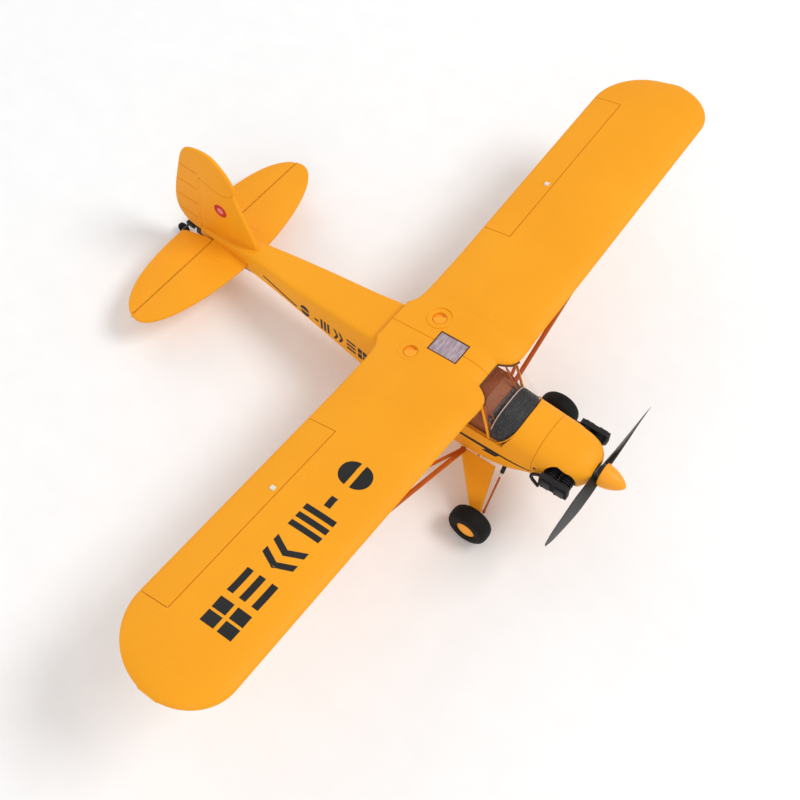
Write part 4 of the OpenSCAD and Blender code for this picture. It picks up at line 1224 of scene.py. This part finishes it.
def build_fin_and_rudder():
    half = FIN_DEPTH / 2
    edge = rounded(HORN_EDGE)
    low_edge = [(u, v - 2.5) for u, v in edge if u < -half - 0.3]
    outline = [(-half, RUDDER_FOOT + 0.2)] + rounded(RUDDER_BACK) + low_edge + [(-half, 19.5)]
    rudder = slab("rudder_foam", spread(outline, 2.5), half, 1.5, upright)
    below = ([(-60, 26.4)] + [p for p in edge if p[0] < -1.3]
             + [(-1.2, 23.1), (-1.2, 19.2), (-half - 0.1, 19.2), (-half - 0.1, 0), (-60, 0)])
    boolean(rudder, prism("below", below, -5, 5, upright))
    ribs = []
    for z, back, front in ((25.4, 18.2, 1.2), (6.4, 21.8, 1.2), (-12, 24.2, 1.2), (-29.5, 23.2, 2)):
        ribs.append(((front, z), (back, z - 0.8)))
    boolean(rudder, scores(ribs, half - 0.5, 4, 0.8, upright))
    finish_piece(rudder, "rudder_unit", FOAM, ["rudder"], 40)

    base = fuselage_top(262) - 6
    to_level = [upright(u, v + 2.5, 0) for u, v in edge]
    hinge_low = upright(-half - 0.45, -44.5, 0)
    hinge_high = upright(-half - 0.45, 25.6, 0)
    front = [(231.5, fuselage_top(231.5) - 3), (231.5, fuselage_top(231.5) + 0.06), (250.9, 43.4)]
    top = [(p.y, p.z) for p in to_level if 251.6 < p.y < hinge_high.y - 0.5]
    outline = front + top + [(hinge_high.y, hinge_high.z), (hinge_low.y, base), (262, base)]
    outline = spread(outline, 3)
    fin = slab("fin_foam", outline, half, 1.5, side_view)
    above = [(-60, 25.8)] + [(u, v - 0.5) for u, v in edge] + [(2, 23.3), (2, 60), (-60, 60)]
    boolean(fin, prism("above", above, -5, 5, upright))
    finish_piece(fin, "airframe", FOAM, ["fin"], 40)

    section = there_and_back((-3.4, -2.2, -1.4, -0.5), half - 0.22, 0.22 - half)
    strip = outward(loft("rudder_hinge_skin", [[upright(u, v, w) for u, w in section]
                                               for v in steps(-33, 21.4, 6)]))
    finish_piece(strip, None, FOAM)
    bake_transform(strip)

    fold = []
    for s in (-1, 1):
        line = [(s * 1.9, y, fuselage_top(y) + 0.1) for y in (236.5, 242, 250, 258, 266, 274)]
        fold.append(rod("root", line, 0.5, 10))
    finish_piece(join("fin_root_bead", fold), "airframe", FOAM, (), 50)

    discs, rings = [], []
    for s in (-1, 1):
        at = (s * (half - 0.05), 266, 17)
        rings.append(turned_ring("ring", [(3.0, 0), (6.3, 0), (6.3, 0.14), (3.0, 0.14)],
                                 at, (s, 0, 0), 48))
        discs.append(revolve("disc", [(3.0, 0), (3.0, 0.12)], at, (s, 0, 0), 40))
    finish_piece(join("fin_roundel_ring", rings), "airframe", RED)
    finish_piece(join("fin_roundel_disc", discs), "airframe", PINK)


# ------------------------------------------------------------------ running gear
WHEEL = Vector((64, -20.3, -92.3))
TYRE_R, TYRE_W, TREAD = 17.0, 15.0, 7.6


def build_wheels():
    for side, body in ((1, "wheel_left"), (-1, "wheel_right")):
        arc = []
        for i in range(49):
            t = math.pi * i / 48
            c, s = math.cos(t), math.sin(t)
            arc.append((TYRE_R - TREAD * (1 - abs(s) ** 0.62),
                        TYRE_W / 2 * math.copysign(abs(c) ** 0.7, c)))
        lip = [(8.6, 0.2 - TYRE_W / 2), (8.0, 0.9 - TYRE_W / 2), (8.0, TYRE_W / 2 - 0.9),
               (8.6, TYRE_W / 2 - 0.2)]
        centre = (side * WHEEL.x, WHEEL.y, WHEEL.z)
        tyre = turned_ring("tyre_" + body[6:] + "_rubber", arc + lip, centre, (1, 0, 0), 96)
        finish_piece(tyre, body, RUBBER, ["tyre_" + body[6:]], 50)
        face = [(1.15, -5.5), (7.6, -5.5), (8.0, -5.1), (8.0, 5.4), (7.7, 5.95), (7.0, 6.2),
                (5.6, 6.75), (3.0, 7.2), (1.2, 7.38), (0, 7.4)]
        hub = revolve("hub_" + body[6:] + "_cap", face, centre, (side, 0, 0), 64)
        bore = revolve("bore", [(1.12, -7), (1.12, 2.4), (3.0, 2.4), (3.0, 5.6)],
                       centre, (side, 0, 0), 40)
        boolean(hub, bore)
        finish_piece(hub, body, YELLOW, ["hub_" + body[6:]], 40)


TAIL_WHEEL = Vector((0, 317, -38))


def build_tail_wheel():
    tread = []
    for i in range(25):
        t = math.pi * i / 24
        out = math.cos(t)
        tread.append((3.4 + 2.1 * math.sin(t) ** 0.7, 2.1 * math.copysign(abs(out) ** 0.7, out)))
    tyre = turned_ring("tyre", tread, TAIL_WHEEL, (1, 0, 0), 56)
    disc = revolve("disc", [(0, -1.9), (1.6, -1.9), (2, -1.3), (3.5, -1.3), (3.5, 1.3), (2, 1.3),
                            (1.6, 1.9), (0, 1.9)], TAIL_WHEEL, (1, 0, 0), 40)
    axle = revolve("axle", [(0.8, -3.8), (0.8, 3.8)], TAIL_WHEEL, (1, 0, 0), 20)
    finish_piece(join("tail_wheel_tyre", [tyre, disc, axle]), "tail_wheel_unit",
                 RUBBER, ["tail_wheel"], 40)

    top = upright(12.4, -46.4, 0)
    plate = moved(bevel(box_at("plate", (-3, 7, -48.2), (3, 15.6, -44.4)), 0.8, 3), AT_RUDDER_HINGE)
    arms = []
    for s in (-1, 1):
        hip = Vector((s * 2.6, top.y, top.z))
        foot = Vector((s * 3.1, TAIL_WHEEL.y, TAIL_WHEEL.z))
        knee = hip.lerp(foot, 0.5) + Vector((s * 0.3, 0.4, 0))
        arms.append(rod("arm", [hip, knee, foot], 0.75, 14))
        boss = [(0, 2.5), (1.5, 2.5), (1.6, 2.8), (1.6, 3.4), (1.3, 3.7), (0, 3.7)]
        arms.append(revolve("boss", boss, TAIL_WHEEL, (s, 0, 0), 24))
    finish_piece(join("tail_wheel_fork", [plate] + arms), "rudder_unit", BLACK,
                 ["tail_wheel_bracket"], 40)


def build_legs():
    """Tapered foam legs with soft edges, bedded under the belly."""
    top = [Vector((22.9, y, -68.3)) for y in (-14.5, 18)]
    foot = [Vector((53.2, y, -87.4)) for y in (-22.6, -12.4)]
    down = ((foot[0] + foot[1]) - (top[0] + top[1])).normalized()
    out = down.cross(Vector((0, 1, 0))).normalized()
    rings = []
    for k in range(17):
        t = k / 16
        a, b = top[0].lerp(foot[0], t), top[1].lerp(foot[1], t)
        thick = 1.55 - 0.35 * t
        ring = []
        for i in range(40):
            ang = 2 * math.pi * i / 40
            c, s = math.cos(ang), math.sin(ang)
            mid, half_len = (a + b) / 2, (b - a) / 2
            ring.append(mid + half_len * math.copysign(abs(c) ** 0.25, c)
                        + out * thick * math.copysign(abs(s) ** 0.8, s))
        rings.append(ring)
    leg = outward(loft("leg", rings))
    boolean(leg, fuselage_form("belly", -0.05, steps(-24, 28, 3)))
    cuff = bevel(box_at("cuff", (-1.9, -4.8, -2.4), (1.9, 4.2, 2)), 0.7, 3)
    tilt = Matrix.Translation((52.4, -17.4, -87.4)) @ Matrix.Rotation(math.radians(32), 4, "Y")
    moved(cuff, tilt)
    finish_piece(both("gear_leg_foam", leg), "airframe", FOAM, ["gear_legs"], 40)
    finish_piece(both("axle_cuffs", cuff), "airframe", FOAM)
    wire = rod("wire", [(0, 2, -68.9), (18, 2, -68.9), (23.2, 1.4, -69.2), (52.8, -17.6, -87.4),
                        (54.6, -20.3, -91.6), (56, WHEEL.y, WHEEL.z), (69, WHEEL.y, WHEEL.z)],
               1.0, 18)
    finish_piece(both("gear_wire_bent", wire), "airframe", STEEL, ["gear_wire"], 60)

    start, end = Vector((22.4, -21, -67.6)), Vector((52.4, -24.4, -87.6))
    rods = rod("shock", [start, end], 0.85, 16)
    foot_plug = rod("plug", [end - (end - start).normalized() * 3, end], 1.2, 16)
    finish_piece(both("shock_rods", join("rods", [rods, foot_plug])), "airframe",
                 STRUT, ["shock_struts"], 40)
    way = (end - start).normalized()
    black = rod("clamp", [start - way * 3.6, start + way * 2.6], 1.75, 20)
    finish_piece(both("shock_clamps", black), "airframe", BLACK, (), 40)
    white = rod("sleeve", [start + way * 2.7, start + way * 5.6], 1.35, 20)
    finish_piece(both("shock_sleeves", white), "airframe", NYLON, (), 40)


STRUT_ROOT = Vector((25.6, 13, -66.4))
STRUT_ENDS = ((178, 11), (188, 42))


def under_wing(x, y, drop):
    return Vector((x, y, 4.25 + DIHEDRAL_SLOPE * x - drop))


def build_struts():
    front, rear = (under_wing(*at, drop) for at, drop in zip(STRUT_ENDS, (2.4, 2.0)))

    def streamlined(name, a, b, r):
        n = 14
        return rod(name, [a.lerp(b, i / n) for i in range(n + 1)], r, 24, flat=0.72)

    for side, name in ((1, "left"), (-1, "right")):
        bars = [streamlined("front", STRUT_ROOT, front, 1.95),
                streamlined("rear", STRUT_ROOT + Vector((0, 1.2, 0)), rear, 1.4)]
        ball = [(0, -2.3), (1.4, -2.1), (2.2, -1), (2.3, 0), (2.2, 1), (1.4, 2.1), (0, 2.3)]
        knob = revolve("root", ball, STRUT_ROOT + Vector((0, 0.6, 0)), (0, 1, 0), 28)
        piece = join("strut_" + name + "_bars", bars + [knob])
        if side < 0:
            moved(piece, FLIP)
        finish_piece(piece, "airframe", STRUT, ["strut_" + name], 40)
    clips = []
    for x, y in STRUT_ENDS:
        at = Matrix.Translation(under_wing(x, y, 0)) @ Matrix.Rotation(-DIHEDRAL, 4, "Y")
        clips.append(moved(bevel(box_at("clip", (-3, -2.4, -0.8), (4, 2.4, -0.05)), 0.25, 2), at))
        clips.append(moved(bevel(box_at("ear", (-1.8, -1.1, -3.4), (1.8, 1.1, -0.6)), 0.35, 2), at))
    finish_piece(both("strut_clip_ears", join("clips", clips)), "airframe", BLACK,
                 ["strut_clips"])


# ------------------------------------------------------------------ markings
def glyph_row():
    """Generic marks, 20 wide and 25 high: outlines in (across, up), one after another."""
    row = []

    def add(at, *outlines):
        row.extend([[(at + u, v) for u, v in o] for o in outlines])

    half_disc = [(10 + 10 * math.cos(t), 14.5 + 10.5 * math.sin(t))
                 for t in (math.pi * i / 18 for i in range(19))]
    low_disc = [(20 - u, 25 - v) for u, v in half_disc]
    add(0, half_disc, low_disc)
    add(32, [(0, 10), (9, 10), (9, 15), (0, 15)])
    for shift in (0, 7.6, 15.2):
        add(46 + shift, [(0, 0), (4.6, 0), (4.6, 25), (0, 25)])
    for shift in (0, 11):
        add(75 + shift, [(0, 0), (5, 0), (11, 12.5), (5, 25), (0, 25), (6, 12.5)])
    for low in (0, 10, 20):
        add(105, [(0, low), (20, low), (20, low + 5), (0, low + 5)])
    for u, v in ((0, 0), (11, 0), (0, 14), (11, 14)):
        add(130, [(u, v), (u + 9, v), (u + 9, v + 11), (u, v + 11)])
    return row


def marks(name, outlines, low, high, place, skin, body="airframe"):
    """Cuts a thin skin to the outlines."""
    prisms = [prism("mark", o, low, high, place) for o in outlines]
    boolean(skin, join("marks", prisms), "INTERSECT")
    skin.name = name
    return finish_piece(skin, body, VINYL, (), 30)


def wing_skin(x0, x1):
    """Thin sheet on the wing's upper skin between two stations."""
    rings = []
    for x in steps(x0, x1, 1.5):
        ys = np.linspace(8, 60, 60)
        over = [(x, y, surface_z(x, y) + 0.09) for y in ys]
        under = [(x, y, surface_z(x, y) - 0.25) for y in ys[::-1]]
        rings.append(over + under)
    return outward(loft("skin", rings))


def fuselage_skin(y0, y1, side):
    """Thin sheet on one flank of the fuselage."""
    rings = []
    for y in steps(y0, y1, 2):
        _, zt, zb, _ = fuselage_at(y)
        zs = np.linspace(zb + 2.2, zt - 1.2, 60)
        over = [(side * (side_x(y, z) + 0.09), y, z) for z in zs]
        under = [(side * (side_x(y, z) - 0.25), y, z) for z in zs[::-1]]
        rings.append(over + under)
    return outward(loft("skin", rings))


def build_markings():
    shapes = glyph_row()
    marks("wing_marks", shapes, 0, 60, lambda u, v, w: (-121.5 - u, 46 - v, w),
          wing_skin(-275, -118))
    size = 0.46
    for side, name in ((-1, "right"), (1, "left")):
        def place(u, v, w):
            y = 176.5 - u * size if side < 0 else 108 + u * size
            z = -28.5 - (176.5 - y) * 0.09 + v * size
            return (side * w, y, z)
        marks("side_marks_" + name, shapes, 2, 40, place, fuselage_skin(100, 180, side))
        def on_flank(u, v, w):
            return (side * w, u, v)

        stripe = [(20, -44.6), (-48, -42.9), (-48, -44.1), (-17.5, -45.9), (-14, -50.4),
                  (-2, -51.2), (-5.5, -47.6), (20, -47.2)]
        marks("nose_stripe_" + name, [stripe], 2, 40, on_flank, fuselage_skin(-43.2, 22, side))
        tail_line = [(181, -24.0), (218, -17.2), (218, -18.8), (181, -26.0)]
        marks("tail_stripe_" + name, [tail_line], 2, 40, on_flank, fuselage_skin(179, 220, side))


# ------------------------------------------------------------------ horns
def build_aileron_horns():
    for side, name in ((1, "left"), (-1, "right")):
        cap = bevel(box_at("cap", (-1.8, 3.0, -0.75), (1.8, 6.9, 0.45)), 0.3, 2)
        moved(cap, Matrix.Rotation(math.radians(-10.5), 4, "X"))
        moved(cap, AT_AILERON_HINGE @ Matrix.Translation((HORN_X * ALONG, 0, 0)))
        if side < 0:
            moved(cap, FLIP)
        cap.name = "horn_cap_" + name
        finish_piece(cap, "aileron_" + name + "_unit", NYLON)


def build_studio():
    """Plain pale floor, camera at the photograph's angle, soft lights."""
    floor = bpy.data.objects.new("floor", bpy.data.meshes.new("floor"))
    s = 8.0
    floor.data.from_pydata([(-s, -s, 0), (s, -s, 0), (s, s, 0), (-s, s, 0)], [], [(0, 1, 2, 3)])
    bpy.context.scene.collection.objects.link(floor)
    p = Paint("floor_paper")
    fine = p.noise(40.0, 2.0)
    p.wire(Base_Color=p.ramp(fine, [(0.2, (0.90, 0.90, 0.90)), (0.8, (0.93, 0.93, 0.93))]),
           Roughness=p.range(fine, 0.75, 0.85), Specular_IOR_Level=0.1)
    floor.data.materials.append(p.material)

    camera = bpy.data.objects.new("camera", bpy.data.cameras.new("camera"))
    bpy.context.scene.collection.objects.link(camera)
    bpy.context.scene.camera = camera
    camera.data.lens = 51.39
    camera.data.clip_start, camera.data.clip_end = 0.05, 50
    azimuth, down, roll = map(math.radians, (70.82, 61.65, 19.585))
    forward = Vector((math.sin(azimuth) * math.cos(down), math.cos(azimuth) * math.cos(down),
                      -math.sin(down)))
    level = Vector((math.cos(azimuth), -math.sin(azimuth), 0))
    up = level.cross(forward)
    right = level * math.cos(roll) + up * math.sin(roll)
    turn = Matrix((right, right.cross(forward), -forward)).transposed()
    camera.matrix_world = Matrix.Translation((-0.42151, -0.17573, 0.81591)) @ turn.to_4x4()

    def lamp(name, at, size, power, colour=(1, 1, 1)):
        light = bpy.data.objects.new(name, bpy.data.lights.new(name, "AREA"))
        light.data.shape = "DISK"
        light.data.size = size
        light.data.energy = power
        light.data.color = colour
        light.location = at
        light.rotation_mode = "QUATERNION"
        light.rotation_quaternion = (-Vector(at)).to_track_quat("-Z", "Y")
        bpy.context.scene.collection.objects.link(light)

    lamp("key", (0.9, -1.2, 2.4), 1.2, 31)
    lamp("fill", (-2.0, -0.4, 1.3), 2.0, 10)
    lamp("back", (0.6, 2.0, 1.6), 1.6, 7)

    world = bpy.data.worlds.new("studio")
    bpy.context.scene.world = world
    world.use_nodes = True
    world.node_tree.nodes["Background"].inputs[0].default_value = (1, 1, 1, 1)
    world.node_tree.nodes["Background"].inputs[1].default_value = 0.66
    bpy.context.scene.view_settings.view_transform = "Standard"


build_wing()
build_hinge_skins()
build_wing_screws()
build_skylight()
build_fuselage()
build_cowl()
build_hatch()
build_propeller()
build_spinner()
build_cylinders()
build_exhaust()
build_windshield()
build_side_windows()
build_glare_shield()
build_cabin()
build_tailplane()
build_fin_and_rudder()
build_wheels()
build_tail_wheel()
build_legs()
build_struts()
build_markings()
build_aileron_horns()
build_studio()
